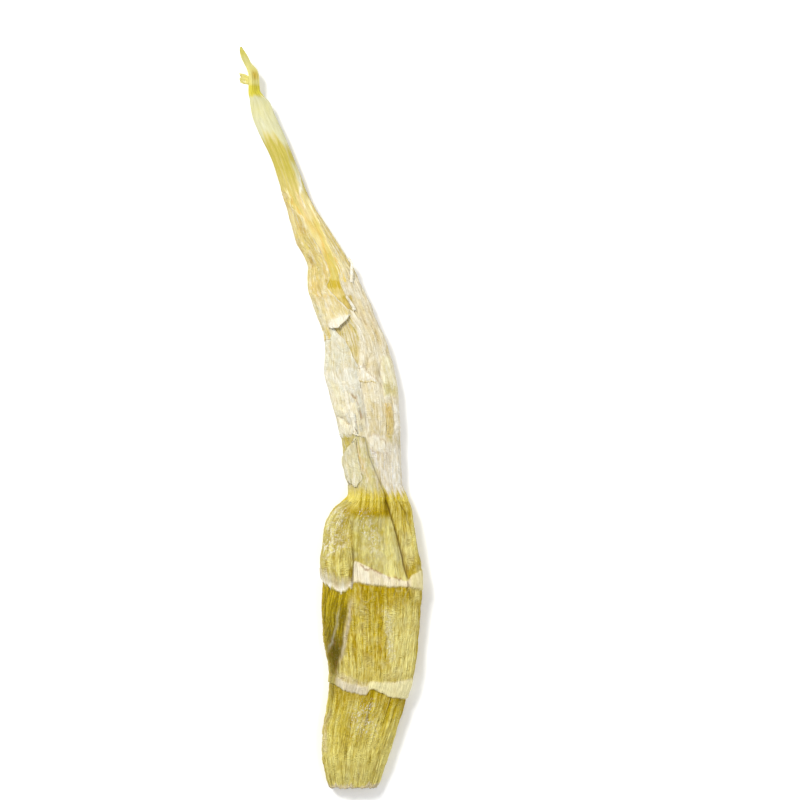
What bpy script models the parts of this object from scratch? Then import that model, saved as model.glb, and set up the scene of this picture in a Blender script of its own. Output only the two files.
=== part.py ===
"""A dried bamboo shoot: peeled, cut off at the base, folded by its drying and pressed flat.

It lies on its flat back. The cut end is towards -Y, the tip towards +Y, the front faces +Z, and the
origin is on the surface it rests on, under the middle of its footprint.

The bare stem carries everything. Its top runs inside a long strap, the youngest sheath, and five
papery sheaths and six torn remnants of them lie over both, one layer over the other.

Every piece is laid out on one set of sections across the shoot. A place on the shoot is given by its
distance from the cut end and by its turn round the section: 0 degrees at the right edge, 90 on the
front, 180 at the left edge and 270 on the back. An inset is how far a layer lies below the outermost
one. All lengths in the tables are millimetres.
"""

import bisect
import math

import bmesh
import bpy
from mathutils import Vector

MM = 0.001

# Outline from above: distance from the cut end, left edge, right edge.
OUTLINE = [
    (0.0, 0.0, 16.3),
    (1.5, -0.8, 17.7),
    (8.0, -2.8, 20.4),
    (15.0, -3.5, 22.6),
    (22.0, -3.2, 24.9),
    (30.0, -1.8, 27.4),
    (42.0, -0.8, 31.0),
    (50.0, -1.8, 32.4),
    (57.0, -2.9, 33.4),
    (67.0, -3.8, 34.3),
    (77.0, -4.0, 34.6),
    (85.0, -4.6, 34.2),
    (92.0, -3.8, 32.8),
    (99.0, -2.6, 31.8),
    (105.0, 0.2, 30.9),
    (109.0, 3.4, 30.2),
    (112.0, 5.6, 28.9),
    (116.0, 5.5, 27.4),
    (123.0, 4.3, 27.1),
    (132.0, 3.4, 26.7),
    (142.0, 1.3, 26.3),
    (151.0, -1.0, 25.6),
    (160.0, -2.7, 24.1),
    (166.0, -2.4, 22.4),
    (172.0, -3.1, 20.6),
    (178.0, -5.0, 17.6),
    (184.0, -7.2, 15.0),
    (195.0, -9.5, 10.0),
    (208.0, -13.8, 2.4),
    (220.0, -16.9, -5.4),
    (226.0, -18.8, -8.7),
    (238.0, -22.2, -13.5),
    (250.0, -27.8, -18.4),
    (256.0, -30.1, -21.3),
    (261.0, -31.0, -23.4),
    (266.0, -31.4, -27.4),
    (271.0, -31.3, -27.7),
    (273.5, -32.0, -28.3),
    (276.0, -33.3, -30.4),
    (278.5, -34.4, -31.6),
    (280.8, -34.8, -33.1),
    (282.0, -34.7, -33.8),
]

# Profile from the side: distance from the cut end, height of the back, height of the front.
PROFILE = [
    (0.0, 0.0, 7.5),
    (10.0, 0.0, 9.5),
    (36.0, 0.0, 11.0),
    (43.0, 0.0, 12.5),
    (60.0, 0.0, 11.8),
    (78.0, 0.0, 13.5),
    (95.0, 0.0, 12.3),
    (111.0, 0.0, 11.4),
    (124.0, 0.0, 10.4),
    (145.0, 0.0, 11.4),
    (165.0, 0.0, 11.6),
    (185.0, 0.0, 10.2),
    (205.0, 0.6, 8.9),
    (225.0, 1.5, 7.8),
    (245.0, 2.5, 7.6),
    (260.0, 3.6, 7.4),
    (268.0, 4.2, 7.2),
    (274.0, 5.2, 6.9),
    (282.0, 7.6, 8.3),
]

EDGE_HEIGHT = 0.42  # height of the left and right edges, as a share of the thickness there
FRONT_POWER = 2.5  # how boxy the front of a section is
BACK_POWER = 6.0
BACK_FLATTENING = 1.05  # over 1, so that the middle of the back is exactly flat

# Lengthwise folds in the stem's front: distance from the cut end, place across, depth of the fold.
LEFT_FOLD = [(40.0, 2.0, 0.0), (51.0, 4.6, 2.0), (62.0, 6.8, 2.6), (76.0, 8.0, 4.0), (92.0, 8.2, 4.6),
             (104.0, 8.0, 4.0), (112.0, 7.2, 0.0)]
RIGHT_FOLD = [(68.0, 30.3, 0.0), (80.0, 29.3, 3.0), (89.0, 27.4, 3.2), (100.0, 24.3, 3.0),
              (112.0, 21.5, 0.0)]
FOLD_HALF_WIDTH = 2.5
# The lobe beside the left fold sinks below the joint there: distance from the cut end, drop.
LOBE_DROP = [(36.0, 0.0), (48.0, 3.6), (62.0, 3.4), (76.0, 0.0)]

# The stem's joints. Each row: place across, and where the joint's raised band starts and stops there.
JOINTS = [
    [(-6.0, 80.4, 84.5), (-0.4, 76.4, 80.6), (4.6, 75.0, 79.2), (7.4, 77.0, 80.2), (9.0, 78.8, 86.8),
     (16.7, 77.9, 83.4), (24.3, 77.3, 80.4), (29.0, 77.0, 79.4), (30.2, 76.8, 81.2), (36.0, 75.6, 83.4)],
    [(-2.0, 40.2, 43.2), (7.2, 37.2, 40.4), (13.3, 36.2, 39.2), (15.0, 38.4, 41.0), (23.2, 35.2, 40.8),
     (32.0, 33.6, 41.6)],
]
JOINT_HEIGHT = 0.55
BELOW_JOINT = 7.0  # the stem is drawn in over this length below a joint

# The stem: distance from the cut end, inset. It shows up to the third joint, then runs inside the sheaths.
STEM_INSET = [(0.0, 0.0), (107.5, 0.0), (111.5, 2.6), (160.0, 2.6), (166.0, 3.4), (184.0, 3.6),
              (190.0, 4.6)]
STEM_END = 190.0

# The strap round the stem's top: distance from the cut end, inset of its outside.
STRAP_INSET = [(168.0, 2.6), (183.0, 2.6), (191.0, 1.3), (215.0, 1.1), (228.0, 1.0), (235.0, 0.0),
               (282.0, 0.0)]
STRAP_START, STRAP_END = 168.0, 282.0
SOCKET_GAP = 0.3  # clearance between the stem's top and the strap it sits in

SHELL = 0.35  # thickness of a papery sheath

# The papery sheaths. Each row: distance from the cut end, first and last turn that the sheath covers,
# and its inset at the first and at the last turn.
SHEATHS = {
    "waist_sheath": [
        (112.5, 71, 285, 1.3, 1.3),
        (121.0, 81, 290, 1.3, 1.3),
        (129.0, 94, 290, 1.3, 1.3),
        (137.0, 100, 280, 1.3, 1.3),
    ],
    "right_sheath": [
        (112.5, -62, 66, 0.2, 1.95),
        (121.0, -62, 77, 0.2, 1.95),
        (129.0, -62, 90, 0.2, 1.95),
        (140.0, -62, 75, 0.2, 1.95),
        (150.0, -60, 62, 0.2, 1.95),
        (167.0, -60, 60, 0.2, 1.95),
        (176.0, -62, 60, 0.2, 1.95),
        (183.0, -66, 70, 0.0, 1.6),
        (190.0, -70, 74, 0.0, 0.6),
        (200.0, -70, 66, 0.0, 0.6),
        (216.0, -60, 62, 0.0, 0.5),
        (226.0, -20, 35, 0.2, 0.5),
    ],
    "front_sheath": [
        (129.0, 56, 282, 0.65, 0.65),
        (141.0, 60, 286, 0.65, 0.65),
        (154.0, 54, 286, 0.65, 0.65),
        (167.0, 52, 286, 0.65, 0.65),
        (176.0, 57, 282, 0.65, 0.65),
        (182.0, 66, 272, 0.65, 0.65),
    ],
    "left_sheath": [
        (133.0, 127, 236, 0.0, 0.0),
        (142.0, 112, 246, 0.0, 0.0),
        (154.0, 90, 250, 0.0, 0.0),
        (159.0, 88, 250, 0.0, 0.0),
        (165.0, 100, 246, 0.0, 0.0),
        (170.0, 106, 240, 0.0, 0.0),
        (174.0, 126, 226, 0.0, 0.0),
    ],
    "upper_sheath": [
        (175.5, 84, 252, -1.6, 0.0),
        (181.0, 78, 260, -0.2, 0.0),
        (186.0, 90, 262, 0.0, 0.0),
        (191.0, 107, 264, 0.0, 0.0),
        (205.0, 110, 260, 0.0, 0.0),
        (216.0, 102, 250, 0.0, 0.0),
        (222.0, 120, 230, 0.1, 0.1),
        (227.0, 150, 205, 0.1, 0.1),
    ],
}
# The share of the way round a sheath where its inset changes from the first value to the last one.
INSET_CHANGE = (0.45, 0.8)
TEAR = 0.7  # how far a torn end strays from a straight line

# Torn remnants lying on the sheaths, as the same rows.
REMNANTS = {
    "torn_flap": [
        (116.0, 118, 170, -0.2, -0.2),
        (123.5, 114, 178, -0.2, -0.2),
        (131.5, 122, 180, -0.1, -0.1),
    ],
    "torn_tongue": [
        (153.5, 64, 86, -0.5, -0.1),
        (157.0, 72, 85, -0.4, -0.1),
        (161.0, 80, 85, -0.2, -0.1),
    ],
    "side_sliver": [
        (191.0, 40, 52, -0.4, -0.4),
        (196.5, 38, 46, -0.5, -0.5),
        (202.0, 35, 37, -1.0, -1.0),
    ],
    "window_sliver": [
        (181.8, 63, 69, -0.3, -0.3),
        (184.5, 66, 71, -0.6, -0.6),
        (187.5, 70, 72, -1.0, -1.0),
    ],
}

# A stub torn off beside the strap's neck: its points from the neck outwards, and its half widths.
STUB_LINE = [(-31.8, 269.6, 5.6), (-33.2, 270.0, 6.0), (-34.5, 270.3, 6.8)]
STUB_HALF_WIDTHS = [1.6, 1.9, 1.8]
STUB_THICKNESS = 0.6

STEM_COLOUR = (0.52, 0.42, 0.06)
STRAP_COLOUR = (0.74, 0.66, 0.26)
SHEATH_COLOUR = (0.80, 0.73, 0.46)
REMNANT_COLOUR = (0.86, 0.82, 0.62)


def smooth(rows, at):
    """The values of a table at one place, on a smooth curve through its rows that never overshoots them."""
    places = [row[0] for row in rows]
    at = min(max(at, places[0]), places[-1])
    i = min(max(bisect.bisect_right(places, at) - 1, 0), len(rows) - 2)
    span = places[i + 1] - places[i]
    t = (at - places[i]) / span
    return [
        (2 * t**3 - 3 * t**2 + 1) * rows[i][k]
        + (t**3 - 2 * t**2 + t) * span * slope(rows, i, k)
        + (3 * t**2 - 2 * t**3) * rows[i + 1][k]
        + (t**3 - t**2) * span * slope(rows, i + 1, k)
        for k in range(1, len(rows[0]))
    ]


def slope(rows, i, k):
    """The slope of column k at row i: the harmonic mean of the slopes beside it, or 0 at a peak or an end."""
    if i in (0, len(rows) - 1):
        return 0.0
    before = (rows[i][k] - rows[i - 1][k]) / (rows[i][0] - rows[i - 1][0])
    after = (rows[i + 1][k] - rows[i][k]) / (rows[i + 1][0] - rows[i][0])
    return 2 * before * after / (before + after) if before * after > 0 else 0.0


def ease(low, high, value):
    """0 below low, 1 above high, and a smooth step between them."""
    t = min(max((value - low) / (high - low), 0.0), 1.0)
    return t * t * (3 - 2 * t)


def bulge(across, power):
    """How full a section is at a place across it, from 1 in the middle to 0 at the edges."""
    return math.sqrt(max(0.0, 1 - abs(across) ** power))


def section_point(distance, turn, inset):
    """The point of a layer at this distance from the cut end and this turn, in degrees."""
    left, right = smooth(OUTLINE, distance)
    back, front = smooth(PROFILE, distance)
    edge = back + EDGE_HEIGHT * (front - back)
    across = math.cos(math.radians(turn))
    x = (left + right) / 2 + ((right - left) / 2 - inset) * across
    if math.sin(math.radians(turn)) >= 0:
        z = edge + (front - inset - edge) * bulge(across, FRONT_POWER)
    else:
        z = edge - (edge - back - inset) * min(1.0, BACK_FLATTENING * bulge(across, BACK_POWER))
    return Vector((x, distance, z))


def fold_depth(distance, x):
    """How far the folds and the sunken lobe lower the stem's front at a place."""
    depth = 0.0
    for fold in (LEFT_FOLD, RIGHT_FOLD):
        if fold[0][0] < distance < fold[-1][0]:
            place, deep = smooth(fold, distance)
            depth += deep * math.exp(-(((x - place) / FOLD_HALF_WIDTH) ** 2))
    place = smooth(LEFT_FOLD, distance)[0]
    beside = 1 - ease(place - FOLD_HALF_WIDTH, place + FOLD_HALF_WIDTH, x)
    return depth + smooth(LOBE_DROP, distance)[0] * beside


def joint_rise(distance, x):
    """How far a joint's band stands above the stem's front at a place, or how far it is drawn in below one."""
    rise = 0.0
    for joint in JOINTS:
        start, stop = smooth(joint, x)
        band = ease(start - 0.9, start + 0.4, distance) * (1 - ease(stop - 0.6, stop + 1.4, distance))
        drawn_in = ease(start - BELOW_JOINT, start, distance) * (1 - ease(start - 0.9, start + 0.4, distance))
        rise += JOINT_HEIGHT * (band - 0.6 * drawn_in)
    return rise


def stem_point(distance, turn):
    """A point of the stem's surface, with folds and joints. They fade out at the edges, off the flat back."""
    point = section_point(distance, turn, smooth(STEM_INSET, distance)[0])
    upward = max(0.0, math.sin(math.radians(turn)))
    relief = joint_rise(distance, point.x) - fold_depth(distance, point.x)
    point.z += relief * min(1.0, 1.6 * upward)
    return point


def new_object(name, mesh_from, material, collection):
    """An object whose mesh is a bmesh's, with its own material."""
    mesh = bpy.data.meshes.new(name)
    mesh_from.to_mesh(mesh)
    mesh_from.free()
    mesh.materials.append(material)
    mesh.shade_smooth()
    obj = bpy.data.objects.new(name, mesh)
    collection.objects.link(obj)
    return obj


def dried_material(name, colour, roughness):
    material = bpy.data.materials.new(name)
    material.use_nodes = True
    shader = material.node_tree.nodes["Principled BSDF"]
    shader.inputs["Base Color"].default_value = (*colour, 1.0)
    shader.inputs["Roughness"].default_value = roughness
    shader.inputs["Metallic"].default_value = 0.0
    return material


def bent_grid(columns, rows, place):
    """A flat grid whose points are moved to place(u, v), with u and v from 0 to 1 along its two sides."""
    grid = bmesh.new()
    bmesh.ops.create_grid(grid, x_segments=columns, y_segments=rows, size=0.5)
    for vertex in grid.verts:
        vertex.co = place(vertex.co.x + 0.5, vertex.co.y + 0.5) * MM
    return grid


def closed_body(name, columns, rows, place, material, collection):
    """A tube, made from a grid whose two long sides meet, with its ends filled flat."""
    tube = bent_grid(columns, rows, place)
    bmesh.ops.remove_doubles(tube, verts=tube.verts, dist=0.001 * MM)
    bmesh.ops.holes_fill(tube, edges=[edge for edge in tube.edges if edge.is_boundary])
    bmesh.ops.recalc_face_normals(tube, faces=tube.faces)
    return new_object(name, tube, material, collection)


def shell(name, columns, rows, place, thickness, material, collection):
    """An open bent grid, thickened downwards from its outer face."""
    obj = new_object(name, bent_grid(columns, rows, place), material, collection)
    solidify = obj.modifiers.new("thickness", "SOLIDIFY")
    solidify.thickness = thickness * MM
    solidify.offset = -1.0
    return obj


def stem_stations():
    """The distances of the stem's rings of points: closest round the joints, widest inside the sheaths."""
    stations = [0.0]
    while stations[-1] < STEM_END:
        last = stations[-1]
        near_joint = any(abs(last - middle) < 8 for middle in (38.0, 80.0, 110.0))
        step = 1.7 if near_joint else 2.8 if last < 110 else 5.5
        stations.append(min(STEM_END, last + step))
    return stations


def stem(collection):
    """The bare stem, from the cut end to its hidden top inside the strap."""
    material = dried_material("dried_stem", STEM_COLOUR, 0.6)
    stations = stem_stations()
    front_columns, back_columns = 34, 12
    columns = front_columns + back_columns

    def place(u, v):
        column = round(u * columns) % columns
        if column < front_columns:
            turn = 180 * column / front_columns
        else:
            turn = 180 + 180 * (column - front_columns) / back_columns
        return stem_point(stations[round(v * (len(stations) - 1))], turn)

    return closed_body("stem", columns, len(stations) - 1, place, material, collection)


def strap(collection):
    """The long youngest sheath, solid from its neck down to the socket that the stem's top sits in.

    Its rings run from the bottom of the socket down to the rim, over it, and up the outside.
    """
    material = dried_material("dried_strap", STRAP_COLOUR, 0.5)
    inside_share = 0.25
    socket_bottom = STEM_END + SOCKET_GAP

    def place(u, v):
        turn = 360 * (u % 1.0)
        if v < inside_share:
            distance = socket_bottom + (STRAP_START - socket_bottom) * v / inside_share
            return section_point(distance, turn, smooth(STEM_INSET, distance)[0] - SOCKET_GAP)
        distance = STRAP_START + (STRAP_END - STRAP_START) * (v - inside_share) / (1 - inside_share)
        return section_point(distance, turn, smooth(STRAP_INSET, distance)[0])

    return closed_body("strap", 32, 32, place, material, collection)


def torn_end(u, phase):
    """How far a torn end strays at a place along it."""
    return TEAR * (0.6 * math.sin(11 * u + phase) + 0.4 * math.sin(26 * u + 2 * phase))


def layer(name, table, columns, rows, material, collection):
    """A papery sheath or remnant with torn ends, from its rows of distances, turns and insets."""
    start, end = table[0][0], table[-1][0]

    def place(u, v):
        distance = start + (end - start) * v
        distance += torn_end(u, start) * (1 - v) ** 8 + torn_end(u, end) * v**8
        first, last, inset_first, inset_last = smooth(table, distance)
        inset = inset_first + (inset_last - inset_first) * ease(*INSET_CHANGE, 1 - u)
        return section_point(distance, last + (first - last) * u, inset)

    return shell(name, columns, rows, place, SHELL, material, collection)


def stub(material, collection):
    """The stub torn off beside the strap's neck."""
    last = len(STUB_LINE) - 1
    line = [(i / last, *point, half) for i, (point, half) in enumerate(zip(STUB_LINE, STUB_HALF_WIDTHS))]
    along = (Vector(STUB_LINE[-1]) - Vector(STUB_LINE[0])).normalized()
    across = along.cross(Vector((0, 0, 1))).normalized()

    def place(u, v):
        *middle, half = smooth(line, v)
        return Vector(middle) + across * (2 * u - 1) * half

    return shell("tip_stub", 4, 5, place, STUB_THICKNESS, material, collection)


def rest_on_origin(objects):
    """Moves everything so that the middle of the footprint is at the origin, on the ground."""
    bpy.context.view_layer.update()
    graph = bpy.context.evaluated_depsgraph_get()
    corners = [Vector(corner) for obj in objects for corner in obj.evaluated_get(graph).bound_box]
    low = [min(corner[axis] for corner in corners) for axis in range(3)]
    high = [max(corner[axis] for corner in corners) for axis in range(3)]
    for obj in objects:
        obj.location = (-(low[0] + high[0]) / 2, -(low[1] + high[1]) / 2, -low[2])


def main():
    for obj in list(bpy.data.objects):
        bpy.data.objects.remove(obj)
    collection = bpy.data.collections.new("bamboo_shoot")
    bpy.context.scene.collection.children.link(collection)
    papery = dried_material("papery_sheath", SHEATH_COLOUR, 0.7)
    bleached = dried_material("bleached_remnant", REMNANT_COLOUR, 0.75)
    parts = [stem(collection), strap(collection)]
    for name, table in SHEATHS.items():
        long = table[-1][0] - table[0][0]
        parts.append(layer(name, table, 18, max(6, round(long / 5)), papery, collection))
    for name, table in REMNANTS.items():
        parts.append(layer(name, table, 6, 5, bleached, collection))
    parts.append(stub(bleached, collection))
    rest_on_origin(parts)


main()
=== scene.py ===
"""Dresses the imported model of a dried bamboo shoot: peeled, cut off at the base and pressed flat.

Every piece is a fine sheet or tube laid over the shoot's own sections. A place on the shoot is given by
its distance from the cut end, in millimetres, and by its turn round the section, in degrees: 0 at the
right edge, 90 on the front, 180 at the left edge and 270 on the back. An inset is how far a layer lies
below the outermost one. The sections repeat the model's own outline and profile, and are placed on it by
the box of its stem.
"""

import bpy
import numpy as np
from bpy.props import FloatProperty, FloatVectorProperty, PointerProperty
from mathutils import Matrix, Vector


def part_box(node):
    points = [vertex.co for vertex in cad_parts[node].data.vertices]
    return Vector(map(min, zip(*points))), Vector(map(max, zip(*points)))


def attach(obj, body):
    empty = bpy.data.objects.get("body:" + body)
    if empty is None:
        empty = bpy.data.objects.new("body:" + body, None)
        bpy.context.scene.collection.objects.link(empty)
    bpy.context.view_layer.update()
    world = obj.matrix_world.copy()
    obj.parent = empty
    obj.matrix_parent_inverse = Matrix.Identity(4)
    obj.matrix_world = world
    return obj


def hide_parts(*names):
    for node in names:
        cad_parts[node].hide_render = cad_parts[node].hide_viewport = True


bl_info = {
    "name": "Dried Bamboo Shoot",
    "version": (1, 0, 0),
    "blender": (4, 5, 0),
    "location": "3D View > Sidebar > Bamboo Shoot",
    "description": "Ribs, joints, papery sheaths and colours for a dried and flattened bamboo shoot",
    "category": "Add Mesh",
}

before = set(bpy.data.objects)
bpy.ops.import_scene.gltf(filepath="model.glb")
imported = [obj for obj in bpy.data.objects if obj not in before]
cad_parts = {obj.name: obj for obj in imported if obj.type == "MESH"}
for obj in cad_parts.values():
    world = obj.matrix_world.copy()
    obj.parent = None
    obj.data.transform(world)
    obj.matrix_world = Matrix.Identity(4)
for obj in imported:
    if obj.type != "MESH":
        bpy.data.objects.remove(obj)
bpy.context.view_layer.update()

MM = 0.001

# Outline from above: distance from the cut end, left edge, right edge.
OUTLINE = [
    (0, -1, 17.3), (1.5, -1.6, 18.3), (8, -2.8, 20.4), (15, -3.5, 22.6), (22, -3.2, 24.9),
    (30, -1.8, 27.4), (42, -0.8, 31), (50, -1.8, 32.4), (57, -2.9, 33.4), (67, -3.8, 34.3),
    (77, -4, 34.6), (85, -4.6, 34.2), (92, -3.8, 32.8), (99, -2.6, 31.8), (105, 0.2, 30.9),
    (109, 3.4, 30.2), (112, 5.6, 28.9), (116, 5.5, 27.4), (123, 4.3, 27.1), (132, 3.4, 26.7),
    (142, 1.3, 26.3), (151, -1, 25.6), (160, -2.7, 24.1), (166, -2.4, 22.4), (172, -3.1, 20.6),
    (178, -5, 17.6), (184, -7.2, 15), (192, -9.2, 11.2), (198, -9.2, 8.6), (203, -11, 5.4),
    (208, -13.8, 2.4), (220, -16.9, -5.4), (226, -18.8, -8.7), (238, -22.2, -13.5), (250, -27.8, -18.4),
    (256, -30.1, -21.3), (261, -31, -23.4), (266, -31.4, -27.4), (271, -31.3, -27.7), (273.5, -32, -28.3),
    (276, -33.3, -30.4), (278.5, -34.4, -31.6), (280.8, -34.8, -33.1), (282, -34.7, -33.8),
]

# Profile from the side: distance from the cut end, height of the back, height of the front.
PROFILE = [
    (0, 0, 7.5), (10, 0, 9.5), (36, 0, 11), (43, 0, 12.5), (60, 0, 11.8), (78, 0, 13.5), (95, 0, 12.3),
    (111, 0, 11.4), (124, 0, 10.4), (145, 0, 11.4), (165, 0, 11.6), (185, 0, 10.2), (205, 0.6, 8.9),
    (225, 1.5, 7.8), (245, 2.5, 7.6), (260, 3.6, 7.4), (268, 4.2, 7.2), (274, 5.2, 6.9), (282, 7.6, 8.3),
]
EDGE_HEIGHT = 0.42  # of a section's left and right edges, as a share of its height
FRONT_POWER, BACK_POWER = 2.5, 6.0  # how boxy a section's front and back are: 2 is an ellipse
BACK_FLATTENING = 1.05  # over 1, so that the back has a flat to lie on

# The two joints that show. Each row: place across, and where the joint's raised band starts and stops.
UPPER_JOINT = [
    (-6, 80.4, 84.5), (-0.4, 76.4, 80.6), (4.6, 75, 79.2), (7.4, 77, 80.2), (9, 78.8, 86.8),
    (16.7, 77.9, 83.4), (24.3, 77.3, 80.4), (29, 77, 79.4), (30.2, 76.8, 81.2), (36, 75.6, 83.4),
]
LOWER_JOINT = [
    (-2, 40.2, 43.2), (7.2, 37.2, 40.4), (13.3, 36.2, 39.2), (15, 38.4, 41), (23.2, 35.2, 40.8),
    (32, 33.6, 41.6),
]
THIRD_JOINT = 110.0
WAIST, WAIST_REACH = 109.0, 6.0  # where the shoot is drawn in, and has few swells
FULL_WIDTH = 36.0  # at which the swells reach their whole height
FULL_LENGTH = 290.0  # one repeat of the lengthwise noise
GIRTH = 84.0  # round a middle section
GIRTH_PLACE = 60.0  # where that section is
WHOLE_GIRTH = 1 - 1e-9  # the share just short of a full turn, which counts as none
ROW_STEP = 0.4  # between the rows of the stem and the strap

# The lines of the main folds, seen from above.
MAIN_FOLD = [(7.6, 104), (8.2, 96), (8.3, 88), (8.1, 80), (7.9, 74.5)]
WAIST_FOLD = [(12.2, 136), (14.1, 126.9), (16.7, 121.2), (19.4, 115.5), (21.3, 111.3), (22.2, 106.5),
              (23.8, 101)]
RIGHT_FOLD = [(20.4, 114), (21.9, 108.5), (22.6, 105), (25, 97), (27.6, 88), (29, 80.5), (29.4, 78.5)]
FAN_RIDGE = [(8.4, 75.5), (7.3, 68), (5.5, 58), (2.7, 44.5)]
RIGHT_SEAM = [(19.2, 164), (19, 156), (20.4, 146), (21, 136)]
FRONT_FOLD = [(8.6, 163), (10, 158), (12, 149), (13, 142), (13.7, 135)]

# Folds that every layer follows: height, half width on the left and on the right, and the fold's line.
FOLDS = [
    (-2.6, 2.4, 0.45, MAIN_FOLD),
    (-1.2, 1.6, 0.55, WAIST_FOLD),
    (-1.7, 1.9, 0.4, RIGHT_FOLD),
    (0.55, 0.7, 1.0, FAN_RIDGE),
    (0.35, 0.6, 0.8, [(3.6, 70), (0.8, 60), (-2.6, 47)]),
    (-0.5, 1.2, 0.5, RIGHT_SEAM),
    (-0.6, 1.0, 0.5, FRONT_FOLD),
    (-0.7, 0.9, 0.7, [(0.6, 141.6), (4, 140.6), (7.4, 137.8)]),
    (0.5, 0.9, 0.9, [(1.4, 145), (4.6, 143.4), (8.6, 140.2)]),
]

# The same for the ridges and furrows of the upper part.
RIDGES = [
    (0.38, 0.5, 0.5, [(-19.4, 228.6), (-17.5, 227.9), (-16.8, 226), (-15.6, 224.8), (-15.6, 221.9),
                      (-13.7, 221), (-12.4, 218.4), (-10.5, 216.5), (-9.2, 213.4), (-8.2, 211.4)]),
    (0.30, 0.45, 0.45, [(-5.8, 207.4), (-2.6, 200.4), (-1, 197.2), (-0.5, 193.6)]),
    (0.40, 0.5, 0.5, [(-9.6, 227), (-6.7, 220), (-4.2, 215), (-2.9, 211.8), (-1, 207.4), (0.9, 202),
                      (2.2, 199.4), (3.7, 192.5), (5.3, 189.3)]),
    (-0.35, 0.6, 0.6, [(-7.2, 218), (-5, 212.6), (-3, 207.4), (-1.2, 202.6), (0.8, 197)]),
    (0.25, 0.45, 0.45, [(-1.4, 211.4), (2.6, 203), (5.2, 197), (6.8, 191)]),
    (0.12, 0.45, 0.45, [(-15.2, 218.4), (-13.4, 212), (-11.4, 205), (-8.6, 198.6)]),
    (0.14, 0.45, 0.45, [(-9, 193.8), (-5, 193.6), (-1, 194.4)]),
    (0.14, 0.45, 0.45, [(-8, 187.6), (-3, 187), (1.6, 187.4)]),
    (-0.6, 0.6, 0.6, [(-9, 202.6), (-7.9, 200.6), (-7.6, 197.6)]),
]


def linear(*srgb):
    """A display colour as the linear one that shaders use."""
    value = np.asarray(srgb, float)
    return tuple(np.where(value <= 0.04045, value / 12.92, ((value + 0.055) / 1.055) ** 2.4))


def smooth(rows, at):
    """The columns of a table at the places `at`, on smooth curves through its rows that never overshoot."""
    table = np.asarray(rows, float)
    places, values = table[:, 0], table[:, 1:]
    span = np.diff(places)
    step = np.diff(values, axis=0) / span[:, None]
    slopes = np.zeros_like(values)
    before, after = step[:-1], step[1:]
    with np.errstate(divide="ignore", invalid="ignore"):
        slopes[1:-1] = np.where(before * after > 0, 2 * before * after / (before + after), 0.0)
    at = np.clip(np.asarray(at, float), places[0], places[-1])
    i = np.clip(np.searchsorted(places, at, "right") - 1, 0, len(places) - 2)
    t, h = ((at - places[i]) / span[i])[..., None], span[i][..., None]
    columns = (
        (2 * t**3 - 3 * t**2 + 1) * values[i]
        + (t**3 - 2 * t**2 + t) * h * slopes[i]
        + (3 * t**2 - 2 * t**3) * values[i + 1]
        + (t**3 - t**2) * h * slopes[i + 1]
    )
    return np.moveaxis(columns, -1, 0)


def bent_line(rows, at):
    """The second column of a table at the places `at`, on straight lines between its rows."""
    return np.interp(at, *zip(*rows))


def ease(low, high, value):
    """0 below low, 1 above high, and a smooth step between them."""
    t = np.clip((value - low) / (high - low), 0.0, 1.0)
    return t * t * (3 - 2 * t)


def spline_weights(t):
    """The shares of four neighbouring cells in a smooth curve between the middle two."""
    before, after = (3 * t**3 - 6 * t**2 + 4) / 6, (-3 * t**3 + 3 * t**2 + 3 * t + 1) / 6
    return (1 - t) ** 3 / 6, before, after, t**3 / 6


NOISE_REACH = 1.8  # of the random numbers, which smoothing brings down to about 1


def noise(seed, across_cells, along_cells, across, along):
    """Smooth noise of about -1 to 1 from seeded random numbers, one to a cell, that wraps round at 1."""
    numbers = np.random.default_rng(seed).uniform(-NOISE_REACH, NOISE_REACH, (along_cells, across_cells))
    total = 0.0
    x, y = across * across_cells, along * along_cells
    column, row = np.floor(x).astype(int), np.floor(y).astype(int)
    for j, weight_y in enumerate(spline_weights(y - row)):
        for i, weight_x in enumerate(spline_weights(x - column)):
            cell = (row + j) % along_cells, (column + i) % across_cells
            total = total + weight_x * weight_y * numbers[cell]
    return total


def shoot_start():
    """The frame's point that the tables' zero stands for, found from the stem's box."""
    low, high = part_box("stem")
    bare = np.asarray([row for row in OUTLINE if row[0] < THIRD_JOINT])
    middle = (bare[:, 1].min() + bare[:, 2].max()) / 2 * MM
    return np.array([(low.x + high.x) / 2 - middle, low.y, low.z])


START = shoot_start()


def section_points(distance, turn, inset):
    """Points of a layer, in millimetres from the start, as an array whose last axis is x, y, z."""
    left, right = smooth(OUTLINE, distance)
    back, front = smooth(PROFILE, distance)
    edge = back + EDGE_HEIGHT * (front - back)
    across, upward = np.cos(np.radians(turn)), np.sin(np.radians(turn))
    x = (left + right) / 2 + ((right - left) / 2 - inset) * across
    fullness = np.sqrt(np.clip(1 - np.abs(across) ** FRONT_POWER, 0, 1))
    flatness = np.sqrt(np.clip(1 - np.abs(across) ** BACK_POWER, 0, 1))
    over = edge + (front - inset - edge) * fullness
    under = edge - (edge - back - inset) * np.minimum(1.0, BACK_FLATTENING * flatness)
    return np.stack([x, distance + 0 * x, np.where(upward >= 0, over, under)], -1)


def girth_table():
    """Turns round a middle section, and the share of its girth that each has passed."""
    turns = np.linspace(0, 360, 1441)
    points = section_points(np.full_like(turns, GIRTH_PLACE), turns, 0.0)
    run = np.concatenate([[0], np.cumsum(np.linalg.norm(np.diff(points, axis=0), axis=1))])
    return turns, run / run[-1]


GIRTH_TURNS, GIRTH_SHARES = girth_table()


def share_of(turn):
    """The share of the girth passed at a turn. It goes on below 0 and above 1."""
    return np.floor(turn / 360) + np.interp(turn % 360, GIRTH_TURNS, GIRTH_SHARES)


def turn_of(share):
    """The turn at a share of the girth."""
    return 360 * np.floor(share) + np.interp(share % 1, GIRTH_SHARES, GIRTH_TURNS)


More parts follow.
